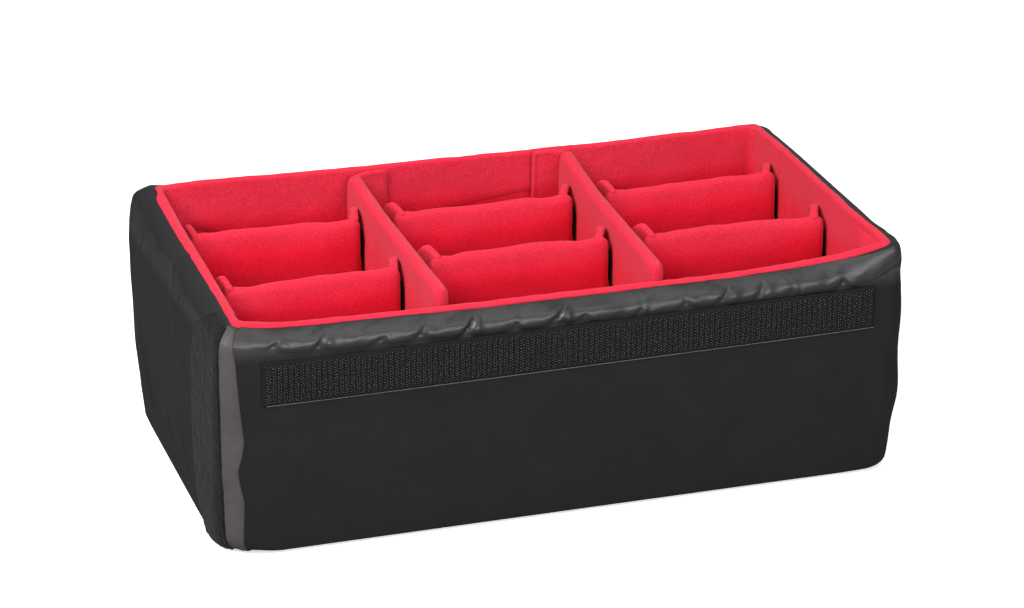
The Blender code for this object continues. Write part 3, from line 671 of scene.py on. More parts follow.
def shoulderShape(s, t):  # shares of the drop and of the way in at a share of the shoulder's turn
    nearCorner = nearPlace(s, cornerPlaces["frontRight"], 0.045)
    square = 1 - np.clip(0.58 * nearCorner + 0.36 * sideShare(s, "right"), 0, 0.62)
    straight = sideBlend(sleeve["straight"], s) * square ** 2
    up = (1 - straight) * np.sin(t * math.pi / 2) ** square + straight * t
    inward = (1 - straight) * (1 - np.cos(t * math.pi / 2) ** square) + straight * t
    return up, inward


def shoulderWay(s, start):  # how far in the seam lies from the wall below it
    radius = outerRadius(start)
    ends, outs = wallPlace(s, start, 0.0, radius)
    plain, _ = wallPlace(s, start, 0.0, radius, share=0.0)
    return sleeve["seamInset"] - cornerPull(s) + np.sum((ends - plain)[..., :2] * outs, axis=-1)


def footRadius(inset):  # plan radius of the corners on the roll under the box
    return np.maximum(0.0215 - 0.8 * inset, 0.006)


def shoulderRadius(start, inward):  # plan radius of the corners on the way to the seam
    return outerRadius(start) * (1 - inward) + 0.0042 * inward


def sleeveRows(s, rollRows, wallRows, shoulderRows, within=0.0):
    # Heights, insets, radii and swelling levels of the rows
    roll, drop = footRoll(s), gatherDrop(s)
    start = sleeve["seamZ"] - drop
    angles = np.linspace(0, math.pi / 2, rollRows)
    zRoll = sleeve["lowest"] + roll[:, None] * (1 - np.cos(angles))
    insetRoll = roll[:, None] * (1 - np.sin(angles))
    zRoll = np.concatenate([zRoll[:, :1], zRoll], axis=1)
    insetRoll = np.concatenate([insetRoll[:, :1] + sleeve["underside"], insetRoll], axis=1)
    wallShare = np.linspace(0, 1, wallRows + 2)[1:-1]
    zWall = zRoll[:, -1:] + (start - zRoll[:, -1])[:, None] * wallShare
    up, inward = shoulderShape(s[:, None], np.linspace(0, 1, shoulderRows)[None, :])
    zShoulder = start[:, None] + (drop - within)[:, None] * up
    level = np.concatenate([zRoll, zWall, np.broadcast_to(start[:, None], zShoulder.shape)], axis=1)
    z = np.concatenate([zRoll, zWall, zShoulder], axis=1)
    inset = np.concatenate([insetRoll, zWall * 0, shoulderWay(s, start)[:, None] * inward], axis=1) + within
    radius = np.concatenate([footRadius(insetRoll), outerRadius(zWall),
                             shoulderRadius(start[:, None], inward)], axis=1)
    return z, inset, radius, level, start, drop


def onSleeve(s, z):  # points of the smooth sleeve, over its foot and shoulder too, and outward directions
    roll, drop = footRoll(s), gatherDrop(s)
    start = sleeve["seamZ"] - drop
    goal = np.clip((z - start) / drop, 0, 1)
    low, high = np.zeros_like(s), np.ones_like(s)
    for _ in range(18):
        middle = (low + high) / 2
        above = shoulderShape(s, middle)[0] > goal
        low, high = np.where(above, low, middle), np.where(above, middle, high)
    inward = shoulderShape(s, low)[1] * (z > start)
    fall = np.clip(1 - (z - sleeve["lowest"]) / roll, 0, 1)
    foot = roll * (1 - np.sqrt(1 - fall ** 2))
    inset = np.where(z > start, shoulderWay(s, start) * inward, foot)
    below = np.where(z < roll, footRadius(foot), outerRadius(z))
    radius = np.where(z > start, shoulderRadius(start, inward), below)
    return wallPlace(s, z, inset, radius, np.minimum(z, start))


def looseFolds(s, grid, z):  # waves, ripples and long soft folds of the walls, and rucks at the corners
    push = clothField("wave", grid, z)
    push = push + clothField("ripple", grid, z)
    fold = 1 - np.abs(clothField("fold", grid + 0.30 * z, z))
    beside, right = sideShare(s, "right", "left")[:, None], sideShare(s, "right")[:, None]
    risen = smoothStep((z - 0.012) / 0.03)
    push = push + beside * sleeve["fold"] * (fold ** 3 - sleeve["foldBase"]) * risen
    push = push * (1 - right * smoothStep((z - 0.125) / 0.03))
    for name, place in cornerPlaces.items():
        push = push + sleeve["ruck"][name] * nearPlace(grid, place, 0.03) * clothField("ruck", grid, z)
    behindTape = smoothStep((z - 0.100) / 0.008) * smoothStep((0.1425 - z) / 0.002)
    push = push * (1 - sideShare(s, "front", blur=0.004)[:, None] * behindTape)
    return push * smoothStep((z - 0.006) / 0.02)


def puffedShoulder(s, grid, z, start, up):  # up is 0 at the lower edge of the gathers, 1 at the seam
    front = sideShare(s, "front", blur=0.004)[:, None]
    offCorner = 1 - 0.85 * nearPlace(s, cornerPlaces["frontRight"], 0.050)[:, None]
    puffs = sideBlend(sleeve["puff"], s)[:, None]
    push = offCorner * puffs * np.sin(math.pi * up ** 0.92) * (1 + clothField("puff", grid, z))
    slanted = clothField("slant", grid - 0.6 * z, z)
    push = push + front * slanted * smoothStep(up / 0.1) * smoothStep((1 - up) / 0.15)
    crease = np.exp(-((z - start[:, None]) / sleeve["creaseWidth"]) ** 2) * (z > 0.142)
    return push - sleeve["crease"] * front * crease


def puckeredEdge(grid, z, upFree):  # the grooves, each with a ridge beside it
    push = np.zeros_like(z)
    leftRise = (z - sleeve["seamZ"] + sleeve["leftPleat"]) / sleeve["leftPleat"]
    for pucker in listPuckers():
        rise = leftRise if pucker["side"] == "left" else upFree
        height = pucker["tall"] * 0.9
        line = pucker["s"] + pucker["slant"] * np.clip(rise, 0, 1) * sleeve["puckerLean"]
        away = awayFrom(grid, line)
        fade = np.clip(1 - np.clip(rise, 0, 1) / height, 0, 1)
        width = pucker["width"] * (0.25 + fade)
        near = (rise > 0) * smoothStep(rise / 0.22) * fade ** 0.7
        ridge = 0.40 * np.exp(-((away - 1.7 * width) / width) ** 2)
        valley = np.clip(1 - np.abs(away) / width, 0, 1) ** 1.3
        depth = sleeve["puckerShare"][pucker["side"]] * sleeve["pucker"] * pucker["depth"]
        push = push + depth * near * (ridge - valley)
    return push


def makeSleeve():
    s = ringPlaces(sleeve["step"])
    z, inset, radius, level, start, drop = sleeveRows(s, sleeve["rollRows"], sleeve["wallRows"],
                                                      sleeve["shoulderRows"])
    outer, out = wallPlace(s[:, None], z, inset, radius, level)
    grid = np.broadcast_to(s[:, None], z.shape)
    upFree = (z - start[:, None]) / drop[:, None]
    up = np.clip(upFree, 0, 1)
    push = looseFolds(s, grid, z) + puffedShoulder(s, grid, z, start, up) + puckeredEdge(grid, z, upFree)
    push = push * (1 - besideClosure(grid))
    outer = outer + gridNormals(outer) * push[..., None]
    peaks = sum(height * nearPlace(s, cornerPlaces[name], 0.016) for name, height in sleeve["peak"].items())
    outer[:, :, 2] += peaks[:, None] * smoothStep((up - 0.5) / 0.5)
    # the edge is tucked under the liner's roll, and the inside follows the smooth shape
    last, inward = outer[:, -1:, :], -np.concatenate([out[:, -1:], np.zeros((len(s), 1, 1))], axis=2)
    tuck = np.concatenate([last + inward * 0.0006 + [0, 0, -0.0006],
                           last + inward * 0.0008 + [0, 0, -0.0026]], axis=1)
    zIn, insetIn, radiusIn, levelIn, *_ = sleeveRows(s, 3, 5, 5, within=sleeve["thick"])
    inner, _ = wallPlace(s[:, None], np.maximum(zIn, 0.0012), insetIn + 0.0008, radiusIn, levelIn)
    inner = inner[:, ::-1, :]
    inner[:, :2, 2] -= 0.003
    points = np.concatenate([outer, tuck, inner], axis=1)
    mesh = gridMesh("outerSleeve", points, s[:, None], rowLengths(points)[None, :])
    obj = finishMesh("outerSleeve", mesh, blackNylon, "padded_box")
    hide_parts("outer_sleeve", "front_wall_foam", "right_wall_foam", "back_wall_foam",
                "left_wall_foam")
    return obj


# The red liner: rolled over the rim, soft against the walls
liner = {
    "step": 0.0022, "rimMiddle": 0.0099, "rimHalf": 0.0029, "rimTop": 0.1745, "rimLow": 0.0026,
    "rimSteps": 13, "wallSteps": 66, "thick": 0.0012, "nap": 0.00016, "wave": 0.0009, "ripple": 0.00045,
    "sway": 0.140, "swayBy": 0.012, "swayDepth": 0.0036, "rimBump": 0.0003, "rimNick": 0.00012,
}


def makeLiner():
    s = ringPlaces(liner["step"])
    one = np.ones((len(s), 1))
    floor = box["floor"] + 0.0003
    angles = np.linspace(math.pi, 0, liner["rimSteps"])  # over the rim from the seam to the room side
    crest = liner["rimTop"] - liner["rimLow"]
    insetRim = liner["rimMiddle"] + liner["rimHalf"] * np.cos(angles)
    zRim = crest + liner["rimLow"] * np.sin(angles)
    wallZ = crest - 0.0012 - np.linspace(0, 1, liner["wallSteps"]) * (crest - 0.0012 - floor)
    insetRow = np.concatenate([insetRim[0] + np.array([0.0014, 0.0004]), insetRim,
                               np.full(liner["wallSteps"], box["wall"] + 0.0003)])
    zRow = np.concatenate([crest - np.array([0.0030, 0.0014]), zRim, wallZ])
    inset, z = one * insetRow, one * zRow
    inset = inset - cornerPull(s)[:, None] * smoothStep((z - 0.110) / 0.060)
    radius = np.where(inset > 0.0126, 0.0046 + 0.004 * smoothStep((0.16 - z) / 0.06), 0.0044)
    share = np.clip((0.0108 - one * insetRow) / 0.0095, 0, 1)
    points, _ = wallPlace(s[:, None], z, inset, radius, share=share)
    normals = gridNormals(points)
    grid = np.broadcast_to(s[:, None], z.shape)
    below = smoothStep((0.168 - z) / 0.02) * smoothStep((z - 0.015) / 0.01)
    push = below * liner["wave"] * ringNoise(grid, z, 0.06, 0.05, 22)
    push = push + liner["ripple"] * ringNoise(grid, z, 0.018, 0.02, 23) * np.clip(below + 0.15, 0, 1)
    # the back wall's fleece hangs a little into the room above a crease that sways up and down
    back = sideShare(s, "back")[:, None]
    sway = liner["sway"] + liner["swayBy"] * ringNoise(grid, z * 0, 0.055, 1.0, 25)
    push = push - back * liner["swayDepth"] * smoothStep((sway - z) / 0.013) * smoothStep((z - 0.03) / 0.05)
    push = push + liner["nap"] * ringNoise(grid, z + inset, 0.0044, 0.0044, 24)
    points = points + normals * push[..., None]
    bumps = liner["rimBump"] * ringNoise(grid, z * 0, 0.022, 1.0, 21)
    bumps = bumps + liner["rimNick"] * ringNoise(grid, z * 0, 0.006, 1.0, 26)
    rimRows = liner["rimSteps"] + 2
    points[:, :rimRows, 2] += bumps[:, :rimRows]
    outerZ = np.linspace(floor, crest - 0.003, 7)
    outer, _ = wallPlace(s[:, None], one * outerZ, box["wall"] - liner["thick"], 0.0046, share=0.0)
    points = np.concatenate([points, outer], axis=1)
    mesh = gridMesh("wallLiner", points, s[:, None], rowLengths(points)[None, :])
    obj = finishMesh("wallLiner", mesh, redFleece, "padded_box")
    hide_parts("wall_liner")
    return obj


def plateMesh(name, halfX, halfY, radius, low, high, step, relief):  # a flat pad with round corners
    nx, ny = round(2 * halfX / step), round(2 * halfY / step)
    x, y = np.meshgrid(np.linspace(-halfX, halfX, nx + 1), np.linspace(-halfY, halfY, ny + 1), indexing="ij")
    cx, cy = np.clip(x, radius - halfX, halfX - radius), np.clip(y, radius - halfY, halfY - radius)
    away = np.hypot(x - cx, y - cy)
    scale = np.where(away > radius, radius / np.maximum(away, 1e-9), 1.0)
    x, y = cx + (x - cx) * scale, cy + (y - cy) * scale
    edge = smoothStep(np.minimum(halfX - np.abs(x), halfY - np.abs(y)) / 0.004)
    tops = np.stack([x, y, high + relief * edge * ringNoise(x + 0.3, y + 0.3, 0.03, 0.03, 31)], axis=2)
    bottoms = np.stack([x, y, np.full_like(x, low)], axis=2)
    count = (nx + 1) * (ny + 1)
    index = np.arange(count).reshape(nx + 1, ny + 1)
    quads = np.stack([index[:-1, :-1], index[1:, :-1], index[1:, 1:], index[:-1, 1:]], axis=2).reshape(-1, 4)
    faces = quads.tolist() + (quads[:, ::-1] + count).tolist()
    border = list(index[:, 0]) + list(index[-1, 1:]) + list(index[-2::-1, -1]) + list(index[0, -2:0:-1])
    for a, b in zip(border, border[1:] + border[:1]):
        faces.append([int(a) + count, int(b) + count, int(b), int(a)])
    mesh = bpy.data.meshes.new(name)
    mesh.from_pydata(np.concatenate([tops.reshape(-1, 3), bottoms.reshape(-1, 3)]).tolist(), [], faces)
    layer = mesh.uv_layers.new(name="cloth")
    loops = np.zeros(len(mesh.loops), np.int32)
    mesh.loops.foreach_get("vertex_index", loops)
    flat = np.concatenate([tops.reshape(-1, 3), bottoms.reshape(-1, 3)])[loops][:, :2]
    layer.data.foreach_set("uv", flat.astype(np.float32).ravel())
    return mesh


def makeFloorLiner():
    mesh = plateMesh("floorLiner", roomX + 0.0012, roomY + 0.0012, 0.0060, 0.0103, box["floor"], 0.0045,
                     0.0004)
    obj = finishMesh("floorLiner", mesh, redFleece, "padded_box")
    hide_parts("base_liner", "base_foam")
    return obj


def makeBaseCover():
    mesh = plateMesh("baseCover", halfLength - 0.012, halfWidth - 0.012, 0.0220, 0.0002, 0.0014, 0.006, 0.0)
    obj = finishMesh("baseCover", mesh, blackNylon, "padded_box")
    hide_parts("outer_base_panel")
    return obj


makeSleeve()
makeLiner()
makeFloorLiner()
makeBaseCover()
print("the padded box is covered and lined")


# Geometry nodes
def newTree(name, fields):  # a tree with named number inputs, its group input and its group output
    tree = bpy.data.node_groups.new(name, "GeometryNodeTree")
    tree.is_modifier = True
    tree.interface.new_socket("Geometry", in_out="INPUT", socket_type="NodeSocketGeometry")
    for field, (kind, value) in fields.items():
        socket = tree.interface.new_socket(field, in_out="INPUT", socket_type="NodeSocket" + kind)
        if value is not None:
            socket.default_value = value
    tree.interface.new_socket("Geometry", in_out="OUTPUT", socket_type="NodeSocketGeometry")
    return tree, tree.nodes.new("NodeGroupInput"), tree.nodes.new("NodeGroupOutput")


def growMesh(source, tree, values, name):  # the tree's result as a plain mesh
    modifier = source.modifiers.new(name, "NODES")
    modifier.node_group = tree
    for item in tree.interface.items_tree:
        if item.item_type == "SOCKET" and item.in_out == "INPUT" and item.name in values:
            modifier[item.identifier] = values[item.name]
    source.update_tag()
    bpy.context.view_layer.update()
    mesh = bpy.data.meshes.new_from_object(source.evaluated_get(bpy.context.evaluated_depsgraph_get()))
    source.modifiers.remove(modifier)
    mesh.name = name
    return mesh


def emptyMeshObject(name):
    obj = bpy.data.objects.new(name, bpy.data.meshes.new(name))
    bpy.context.scene.collection.objects.link(obj)
    return obj


def dropObject(obj):
    data = obj.data
    bpy.data.objects.remove(obj)
    (bpy.data.curves if isinstance(data, bpy.types.Curve) else bpy.data.meshes).remove(data)


def makeBoardTree():
    # A foam board in a fleece sleeve: a block of small faces, rounded at every edge, crowned, with a dipped
    # and slightly wavy top and a nap that lifts the surface.
    tree, given, result = newTree("paddedBoard", {
        "Length": ("Float", 0.14), "Thickness": ("Float", 0.011), "Height": ("Float", 0.148),
        "Edge": ("Float", 0.0045), "Foot Edge": ("Float", 0.0015), "Cell": ("Float", 0.0022),
        "Crown": ("Float", 0.001), "Wave": ("Float", 0.0006), "Nap": ("Float", 0.00022),
        "End Fall": ("Float", 0.004), "Seed": ("Float", 0.0), "Fabric": ("Material", None),
    })
    size = addNode(tree, "ShaderNodeCombineXYZ", {0: given.outputs["Length"], 1: given.outputs["Thickness"],
                                                  2: given.outputs["Height"]})
    counts = []
    for field in ("Length", "Thickness", "Height"):
        share = addNode(tree, "ShaderNodeMath", {0: given.outputs[field], 1: given.outputs["Cell"]},
                        operation="DIVIDE")
        counts.append(addNode(tree, "ShaderNodeMath", {0: share.outputs[0], 1: 4.0}, operation="MAXIMUM"))
    block = addNode(tree, "GeometryNodeMeshCube", {
        "Size": size.outputs[0], "Vertices X": counts[0].outputs[0], "Vertices Y": counts[1].outputs[0],
        "Vertices Z": counts[2].outputs[0],
    })
    merged = addNode(tree, "GeometryNodeMergeByDistance", {0: block.outputs["Mesh"], "Distance": 0.00001})
    here = addNode(tree, "GeometryNodeInputPosition").outputs[0]
    half = addNode(tree, "ShaderNodeVectorMath", {0: size.outputs[0], "Scale": 0.5},
                   operation="SCALE").outputs[0]
    edge = addNode(tree, "ShaderNodeCombineXYZ", {0: given.outputs["Edge"], 1: given.outputs["Edge"],
                                                  2: given.outputs["Edge"]}).outputs[0]
    footEdge = addNode(tree, "ShaderNodeCombineXYZ", {0: given.outputs["Edge"], 1: given.outputs["Edge"],
                                                      2: given.outputs["Foot Edge"]}).outputs[0]
    highest = addNode(tree, "ShaderNodeVectorMath", {0: half, 1: edge}, operation="SUBTRACT").outputs[0]
    lowest = addNode(tree, "ShaderNodeVectorMath", {0: half, 1: footEdge}, operation="SUBTRACT").outputs[0]
    lowest = addNode(tree, "ShaderNodeVectorMath", {0: lowest, "Scale": -1.0}, operation="SCALE").outputs[0]
    core = addNode(tree, "ShaderNodeVectorMath", {0: here, 1: highest}, operation="MINIMUM").outputs[0]
    core = addNode(tree, "ShaderNodeVectorMath", {0: core, 1: lowest}, operation="MAXIMUM").outputs[0]
    away = addNode(tree, "ShaderNodeVectorMath", {0: here, 1: core}, operation="SUBTRACT").outputs[0]
    direction = addNode(tree, "ShaderNodeVectorMath", {0: away}, operation="NORMALIZE").outputs[0]
    parts = addNode(tree, "ShaderNodeSeparateXYZ", {0: away}).outputs
    sizes = [addNode(tree, "ShaderNodeMath", {0: part}, operation="ABSOLUTE").outputs[0] for part in parts]
    largest = addNode(tree, "ShaderNodeMath", {0: sizes[0], 1: sizes[1]}, operation="MAXIMUM").outputs[0]
    largest = addNode(tree, "ShaderNodeMath", {0: largest, 1: sizes[2]}, operation="MAXIMUM").outputs[0]
    rounded = addNode(tree, "ShaderNodeVectorMath", {0: direction, "Scale": largest},
                      operation="SCALE").outputs[0]
    rounded = addNode(tree, "ShaderNodeVectorMath", {0: core, 1: rounded}, operation="ADD").outputs[0]
    # crown of the two faces, strongest in the middle of the length and half way up
    flat = addNode(tree, "ShaderNodeSeparateXYZ", {0: rounded}).outputs
    halves = addNode(tree, "ShaderNodeSeparateXYZ", {0: half}).outputs
    alongShare = addNode(tree, "ShaderNodeMath", {0: flat[0], 1: halves[0]}, operation="DIVIDE").outputs[0]
    square = addNode(tree, "ShaderNodeMath", {0: alongShare, 1: alongShare}, operation="MULTIPLY").outputs[0]
    middle = addNode(tree, "ShaderNodeMath", {0: 1.0, 1: square}, operation="SUBTRACT",
                     use_clamp=True).outputs[0]
    upShare = addNode(tree, "ShaderNodeMath", {0: flat[2], 1: halves[2]}, operation="DIVIDE").outputs[0]
    upSquare = addNode(tree, "ShaderNodeMath", {0: upShare, 1: upShare}, operation="MULTIPLY").outputs[0]
    upMiddle = addNode(tree, "ShaderNodeMath", {0: 1.0, 1: upSquare}, operation="SUBTRACT",
                       use_clamp=True).outputs[0]
    facing = addNode(tree, "ShaderNodeMath", {0: flat[1], 1: halves[1]}, operation="DIVIDE").outputs[0]
    swell = addNode(tree, "ShaderNodeMath", {0: middle, 1: upMiddle}, operation="MULTIPLY").outputs[0]
    swell = addNode(tree, "ShaderNodeMath", {0: swell, 1: facing}, operation="MULTIPLY").outputs[0]
    swell = addNode(tree, "ShaderNodeMath", {0: swell, 1: given.outputs["Crown"]},
                    operation="MULTIPLY").outputs[0]
    # the top falls at the two ends and waves a little along its length
    endShare = addNode(tree, "ShaderNodeMath", {0: alongShare}, operation="ABSOLUTE").outputs[0]
    fall = addNode(tree, "ShaderNodeMapRange", {"Value": endShare, "From Min": 0.86, "From Max": 1.0},
                   interpolation_type="SMOOTHERSTEP").outputs[0]
    fall = addNode(tree, "ShaderNodeMath", {0: fall, 1: given.outputs["End Fall"]},
                   operation="MULTIPLY").outputs[0]
    seedPlace = addNode(tree, "ShaderNodeCombineXYZ",
                        {0: given.outputs["Seed"], 1: given.outputs["Seed"], 2: 0.0}).outputs[0]
    noisePlace = addNode(tree, "ShaderNodeVectorMath", {0: rounded, 1: seedPlace},
                         operation="ADD").outputs[0]
    wave = addNode(tree, "ShaderNodeTexNoise",
                   {"Vector": noisePlace, "Scale": 38.0, "Detail": 1.5}).outputs[0]
    wave = addNode(tree, "ShaderNodeMath", {0: wave, 1: 0.5}, operation="SUBTRACT").outputs[0]
    wave = addNode(tree, "ShaderNodeMath", {0: wave, 1: given.outputs["Wave"]},
                   operation="MULTIPLY").outputs[0]
    wave = addNode(tree, "ShaderNodeMath", {0: wave, 1: 4.0}, operation="MULTIPLY").outputs[0]
    drop = addNode(tree, "ShaderNodeMath", {0: wave, 1: fall}, operation="SUBTRACT").outputs[0]
    risen = addNode(tree, "ShaderNodeMapRange", {"Value": upShare, "From Min": 0.1, "From Max": 1.0},
                    interpolation_type="SMOOTHSTEP").outputs[0]
    drop = addNode(tree, "ShaderNodeMath", {0: drop, 1: risen}, operation="MULTIPLY").outputs[0]
    bend = addNode(tree, "ShaderNodeMath", {0: wave, 1: upMiddle}, operation="MULTIPLY").outputs[0]
    across = addNode(tree, "ShaderNodeMath", {0: swell, 1: bend}, operation="ADD").outputs[0]
    shift = addNode(tree, "ShaderNodeCombineXYZ", {0: 0.0, 1: across, 2: drop}).outputs[0]
    placed = addNode(tree, "ShaderNodeVectorMath", {0: rounded, 1: shift}, operation="ADD").outputs[0]
    nap = addNode(tree, "ShaderNodeTexNoise", {
        "Vector": noisePlace, "Scale": 420.0, "Detail": 2.0, "Roughness": 0.7,
    }).outputs[0]
    nap = addNode(tree, "ShaderNodeMath", {0: nap, 1: 0.5}, operation="SUBTRACT").outputs[0]
    nap = addNode(tree, "ShaderNodeMath", {0: nap, 1: given.outputs["Nap"]}, operation="MULTIPLY").outputs[0]
    nap = addNode(tree, "ShaderNodeMath", {0: nap, 1: 4.0}, operation="MULTIPLY").outputs[0]
    fuzz = addNode(tree, "ShaderNodeVectorMath", {0: direction, "Scale": nap}, operation="SCALE").outputs[0]
    final = addNode(tree, "ShaderNodeVectorMath", {0: placed, 1: fuzz}, operation="ADD").outputs[0]
    moved = addNode(tree, "GeometryNodeSetPosition", {0: merged.outputs[0], "Position": final})
    real = addNode(tree, "GeometryNodeRealizeInstances", {0: moved.outputs[0]})
    dressed = addNode(tree, "GeometryNodeSetMaterial",
                      {0: real.outputs[0], "Material": given.outputs["Fabric"]})
    tree.links.new(dressed.outputs[0], result.inputs[0])
    return tree


def makeStitchTree():  # thread lying on the cloth along lines: a small bead for each stitch
    tree, given, result = newTree("stitchLine", {
        "Pitch": ("Float", 0.0026), "Stitch": ("Float", 0.0018), "Thread": ("Float", 0.0003),
        "Fabric": ("Material", None)})
    curves = addNode(tree, "GeometryNodeMeshToCurve", {0: given.outputs["Geometry"]})
    spaced = addNode(tree, "GeometryNodeResampleCurve",
                     {"Curve": curves.outputs[0], 3: given.outputs["Pitch"]}, mode="LENGTH")
    tangent = addNode(tree, "GeometryNodeInputTangent")
    turn = addNode(tree, "FunctionNodeAlignRotationToVector", {"Vector": tangent.outputs[0]}, axis="Z")
    ball = addNode(tree, "GeometryNodeMeshUVSphere", {"Segments": 6, "Rings": 5, "Radius": 0.5})
    size = addNode(tree, "ShaderNodeCombineXYZ", {0: given.outputs["Thread"], 1: given.outputs["Thread"],
                                                  2: given.outputs["Stitch"]})
    placed = addNode(tree, "GeometryNodeInstanceOnPoints", {
        "Points": spaced.outputs[0], "Instance": ball.outputs[0], "Rotation": turn.outputs[0],
        "Scale": size.outputs[0],
    })
    real = addNode(tree, "GeometryNodeRealizeInstances", {0: placed.outputs[0]})
    dressed = addNode(tree, "GeometryNodeSetMaterial",
                      {0: real.outputs[0], "Material": given.outputs["Fabric"]})
    tree.links.new(dressed.outputs[0], result.inputs[0])
    return tree


def stitchMesh(name, lines, values, thread):  # lines are lists of points
    points, edges = [], []
    for line in lines:
        first = len(points)
        points.extend([tuple(p) for p in line])
        edges.extend((first + i, first + i + 1) for i in range(len(line) - 1))
    mesh = bpy.data.meshes.new(name + "Lines")
    mesh.from_pydata(points, edges, [])
    source = bpy.data.objects.new(name + "Lines", mesh)
    bpy.context.scene.collection.objects.link(source)
    grown = growMesh(source, stitchTree, {**values, "Fabric": thread}, name)
    dropObject(source)
    return grown


def makeStitches(name, lines, values, thread, body):
    return finishMesh(name, stitchMesh(name, lines, values, thread), thread, body)


stitchTree = makeStitchTree()
flapSeam = {"Pitch": 0.0027, "Stitch": 0.0020, "Thread": 0.0005}


boardTree = makeBoardTree()
boards = {
    "thick": 0.011, "foot": box["floor"] + 0.0003, "longTop": 0.1700, "longCrest": 0.0015, "crossTop": 0.1605,
    "frontDrop": 0.0004, "backRise": (0.0052, 0.0070), "longTabDrop": 0.0065,
    "endGap": 0.0020, "endLean": 0.0085, "leanDown": 0.046, "leanIn": 0.040, "leftStand": 0.6,
    "skews": (0.0, 2.3), "longCentres": (-0.382, 0.314),
    "backFaces": (0.493, 0.493, 0.489), "frontFaces": (-0.395, -0.278, -0.314),
    "long": {"fit": 0.0006, "crown": 0.0, "wave": 0.0004, "drawn": 0.10},
    "cross": {"fit": 0.0010, "crown": 0.0009, "wave": 0.0008, "drawn": 0.42},
    "edge": 0.0052, "cell": 0.0021, "nap": 0.00008, "endFall": 0.0010, "drawnDown": 0.026,
    "archFall": 0.0040, "archIn": 0.011, "earRise": 0.0036, "earIn": 0.008,
    "dip": 0.0012, "dipAt": 0.020, "dipWide": 0.009, "sway": 0.0007,
}
flap = {  # sizes of the end tabs; lean and rise are (place from the fold, value) in mm
    "thick": 0.0028, "length": 0.018, "foot": 0.003, "root": -0.0095, "standOff": 0.0032, "over": 0.0005,
    "beside": 0.0015, "middle": -0.0002, "edge": 0.0013, "footEdge": 0.001, "cell": 0.0011, "nap": 0.00016,
    "wave": 0.0001, "stitchInset": 0.0028, "bend": (-0.0026, 0.0022),
    "rise": {"left": [(-10, -1.0), (-6, 0.6), (-2, 2.0), (2, 4.0), (5, 3.4), (8, -2), (12, -8), (19, -10)],
             "right": [(-10, -2.0), (-6, 0.2), (-1, 2.0), (4, 2.4), (9, 1.2), (13, -2), (19, -5)],
             "back": [(-10, -3), (-3, -1), (2, 0.0), (6, 0.2), (19, 0.2)],
             "front": [(-10, -10), (0, -9), (19, -9)]},
    "lean": {"left": [(-10, 14.0), (-4, 12.4), (1, 10.4), (5, 8.0), (9, 4.0), (14, 0.8), (19, 0.0)],
             "right": [(-10, 8.0), (-4, 5.6), (1, 3.4), (6, 1.4), (12, 0.1), (19, 0.0)],
             "back": [(-10, 1.0), (0, 0.4), (19, 0.0)],
             "front": [(-10, 1.0), (0, 0.4), (19, 0.0)]},
    "fullness": {"left": 0.7, "right": 1.2, "back": 0.2, "front": 0.2},
    "round": {"left": 0.006, "right": 0.006, "back": 0.0016, "front": 0.004},
}
hookStrip = {
    "thick": 0.0014, "fall": 0.0110, "rootInset": 0.0024, "tipInset": 0.0022, "lowest": 0.001,
    "edge": 0.0006, "footEdge": 0.0005, "cell": 0.0014, "nap": 0.00012, "corner": 0.004, "cut": 0.006,
    "ragged": 0.0012, "pressed": 0.0007, "pressedWide": 0.0035,
}


def longLine(index, y, offset):  # x of a line along a long divider
    skew = math.radians(boards["skews"][index])
    return boards["longCentres"][index] * roomX + y * math.tan(skew) + offset / math.cos(skew)


def boardMesh(values, name):
    source = emptyMeshObject(name + "Source")
    mesh = growMesh(source, boardTree, values, name)
    dropObject(source)
    return mesh


def meshPoints(mesh):
    co = np.zeros(len(mesh.vertices) * 3, np.float32)
    mesh.vertices.foreach_get("co", co)
    return co.reshape(-1, 3).astype(float)


def setMeshPoints(mesh, points):
    mesh.vertices.foreach_set("co", points.astype(np.float32).ravel())
    mesh.update()


def columnSide(column, sign, y):  # x and skew of the wall or long divider at one side of a column
    if column == 0 and sign < 0 or column == 2 and sign > 0:
        return sign * roomX, 0.0
    index = column - 1 if sign < 0 else column
    return longLine(index, y, -sign * boards["thick"] / 2), math.radians(boards["skews"][index])


def longSpec(index):
    skew, rise = math.radians(boards["skews"][index]), boards["backRise"][index]
    fold = 1 if index == 0 else -1
    tabs = {}
    for end, sign in (("front", -1), ("back", 1)):
        y = sign * (roomY - flap["standOff"])
        x = longLine(index, y, fold * (boards["thick"] / 2 + flap["beside"]))
        tabs[end] = {"axis": (x, y), "along": (fold, 0.0), "out": (0.0, sign),
                     "top": boards["longTop"] + (rise if sign > 0 else -boards["longTabDrop"])}
    return {
        "kind": "long", "centre": (boards["longCentres"][index] * roomX, 0.0),
        "along": (math.sin(skew), math.cos(skew)), "across": (math.cos(skew) * fold, -math.sin(skew) * fold),
        "half": (roomY - boards["endGap"]) / math.cos(skew) - boards["thick"] / 2 * math.tan(skew),
        "top": boards["longTop"] + boards["longCrest"], "frontDrop": boards["frontDrop"], "backRise": rise,
        "stand": 1.0, "tabs": tabs,
    }


